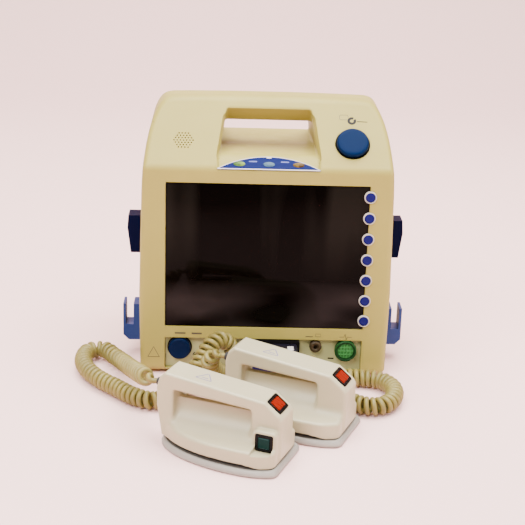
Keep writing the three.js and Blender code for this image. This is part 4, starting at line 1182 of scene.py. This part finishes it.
def make_paddles():
    # patch 0.12 gives each cap a slow change of tone across it: painted shade, darker towards one side of the
    # cap.
    button = {"roughness": 0.30, "grain": 1500, "depth": 0.00003, "patch": 0.12}
    finishes = {
        "shell": moulded("paddle_white", (0.43, 0.375, 0.235), 0.38, grain=1500, depth=0.00004, patch=0.03),
        # The sole is greyer and darker than the shell: partly its own pale grey, partly painted shade for its
        # rim low down under the shell.
        "sole": moulded("sole_grey_painted_shade", (0.285, 0.255, 0.222), 0.42, grain=1300, depth=0.00005, patch=0.04),
        "rubber": moulded("boot_rubber", (0.015, 0.014, 0.014), 0.6, grain=900),
        "black": moulded("frame_black", (0.002, 0.0016, 0.0015), 0.28, grain=1800, depth=0.00003,
                         specular=0.1),
        # painted shade: the neck's dark grey stands in for the shade in the groove under the shell's rim
        "shade": moulded("neck_painted_shade", (0.085, 0.074, 0.066), 0.6, grain=900, specular=0.2),
        "shock_orange": moulded("shock_orange", (0.150, 0.0065, 0.0003), specular=0.06, **button),
        "charge_teal": moulded("charge_teal", (0.0014, 0.0185, 0.0165), specular=0.08,
                               **{**button, "roughness": 0.28}),
        "violet": moulded("ink_violet", (0.15, 0.12, 0.25), 0.5),
    }
    for name, (x, y) in PADDLE_SPOTS.items():
        make_paddle(name, x, y, name == "paddle_1", finishes)


# ---------------------------------------------------------------- curly cords
COIL_RADIUS = 9.7
CABLE_RADIUS = 2.7
LEAD, TAPER = 3.0, 24.0          # a cord's straight end, and the stretch over which its turns grow
CORD_PITCHES = {
    "paddle_1": ((0, 9.0), (0.05, 7.2), (0.12, 6.5), (0.56, 6.6), (0.66, 12.0), (0.97, 13.0), (1, 13.0)),
    "paddle_2": ((0, 9.0), (0.05, 7.0), (0.12, 6.4), (0.80, 6.4), (0.93, 7.6), (1, 10.0)),
}


def beyond_grommet(paddle, out):
    """A point on the line that a paddle's cord leaves along, out millimetres beyond its grommet."""
    x, y = PADDLE_SPOTS[paddle]
    reach = CORD_EXIT_X - out
    return (x + reach * math.cos(PADDLE_TURN), y + reach * math.sin(PADDLE_TURN), CORD_EXIT_Z)


CORD_ROUTES = {
    "paddle_1": [
        (PLUG_LOW[0] - GAP, -13, 28), (PLUG_LOW[0] - 7, -13, 28),
        (-36, -14, 39), (-45, -19, 49), (-56, -29, 46),
        (-66, -39, 34), (-75, -51, 21), (-85, -66, 12.5), (-97, -82, 10.5), (-114, -92, 10.5),
        (-134, -82, 10.5), (-152, -63, 10.5), (-171, -43, 10.5), (-187, -18, 10.5), (-195, 10, 10.5),
        (-190, 35, 10.5), (-175, 36, 11.5), (-161, 10, 15), (-149, -22, 22), (-138, -62, 33),
        (-127, -104, 46), (-120, -132, 55), beyond_grommet("paddle_1", 9), beyond_grommet("paddle_1", GAP),
    ],
    "paddle_2": [
        (PLUG_HIGH[0] + GAP, -12, PLUG_MID_Z), (PLUG_HIGH[0] + 9, -12, PLUG_MID_Z),
        (58, -16, 17), (76, -22, 11.5),
        (97, -25, 10.5), (112, -27, 10.5), (126, -33, 10.5), (135, -48, 10.5), (136, -65, 10.5),
        (129, -85, 10.5), (117, -96, 10.5), (102, -95, 10.5), (84, -82, 10.5), (64, -71, 10.5),
        (42, -61, 10.5), (16, -51, 10.5), (-8, -45, 10.5), (-30, -46, 14), (-45, -54, 24), (-54, -65, 37),
        (-56, -76, 50), beyond_grommet("paddle_2", 9), beyond_grommet("paddle_2", GAP),
    ],
}
# A direction for each cord; make_cord normalises it and does nothing more with it.
CORD_ALONG = {"paddle_1": (-0.4, -1.0, 1.0), "paddle_2": (-0.5, -0.5, 1.0)}


def catmull_rom(points, per_span=24):
    """A centripetal Catmull-Rom curve through the points, as the CAD's own tubes use."""
    points = np.asarray(points, float)
    ends = np.vstack([2 * points[0] - points[1], points, 2 * points[-1] - points[-2]])
    line = []
    for p0, p1, p2, p3 in zip(ends, ends[1:], ends[2:], ends[3:]):
        knots = [0.0]
        for a, b in ((p0, p1), (p1, p2), (p2, p3)):
            knots.append(knots[-1] + max(np.linalg.norm(b - a) ** 0.5, 1e-4))
        t = np.linspace(knots[1], knots[2], per_span, endpoint=False)[:, None]
        k0, k1, k2, k3 = knots
        a1 = (k1 - t) / (k1 - k0) * p0 + (t - k0) / (k1 - k0) * p1
        a2 = (k2 - t) / (k2 - k1) * p1 + (t - k1) / (k2 - k1) * p2
        a3 = (k3 - t) / (k3 - k2) * p2 + (t - k2) / (k3 - k2) * p3
        b1 = (k2 - t) / (k2 - k0) * a1 + (t - k0) / (k2 - k0) * a2
        b2 = (k3 - t) / (k3 - k1) * a2 + (t - k1) / (k3 - k1) * a3
        line.append((k2 - t) / (k2 - k1) * b1 + (t - k1) / (k2 - k1) * b2)
    return np.vstack([*line, points[-1:]])


def even(path, step):
    """The path resampled at even steps along its length."""
    lengths = np.concatenate([[0], np.cumsum(np.linalg.norm(np.diff(path, axis=0), axis=1))])
    at = np.linspace(0, lengths[-1], int(lengths[-1] / step) + 1)
    return np.column_stack([np.interp(at, lengths, path[:, i]) for i in range(3)]), at


def helix_path(route, pitches, seed):
    """A helix wound round the route. Its pitch follows (share of the way, millimetres a turn) pairs."""
    line, at = even(catmull_rom(route), 0.4)
    total = at[-1]
    tangent = np.gradient(line, axis=0)
    tangent /= np.linalg.norm(tangent, axis=1)[:, None]
    pitch = np.interp(at / total, *zip(*pitches))
    wobble = random.Random(seed)
    phases = [wobble.uniform(0, 6.28) for _ in range(3)]
    for wave, phase in zip((23.0, 41.0, 77.0), phases):
        pitch = pitch * (1 + 0.025 * np.sin(2 * np.pi * at / wave + phase))
    turn = np.concatenate([[0], np.cumsum(2 * np.pi * np.diff(at) / pitch[1:])])
    swell = np.clip((np.minimum(at, total - at) - LEAD) / TAPER, 0, 1)
    radius = (COIL_RADIUS - CABLE_RADIUS) * swell * (2 - swell)
    side = np.cross(tangent[0], (0, 0, 1.0))
    out = []
    for i in range(len(line)):
        side = side - tangent[i] * (side @ tangent[i])
        side /= np.linalg.norm(side)
        other = np.cross(tangent[i], side)
        out.append(line[i] + radius[i] * (math.cos(turn[i]) * side + math.sin(turn[i]) * other))
    return np.array(out)


def make_cord(paddle, seed, jacket):
    wound = helix_path(CORD_ROUTES[paddle], CORD_PITCHES[paddle], seed)
    path, _ = even(wound, 2.2)
    path = to_row(path)
    vertices, faces = tube(path, CABLE_RADIUS * MM, 10)
    node = paddle.replace("paddle", "paddle_cord")
    piece = make_piece("coiled_" + node, vertices, faces, jacket, None, "cord_cream", 50, in_row=True)
    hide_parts(node)
    along = np.array(CORD_ALONG[paddle])
    along /= np.linalg.norm(along)
    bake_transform(piece)


make_camera()
make_lights()
make_floor()
make_case()
make_screen()
make_keys()
make_indicators()
make_knob()
make_marks()
make_connectors()
make_plug()
make_holders()
make_feet()
make_back_and_inside()
make_paddles()
cord_jacket = curly_jacket()
make_cord("paddle_1", 3, cord_jacket)
make_cord("paddle_2", 8, cord_jacket)
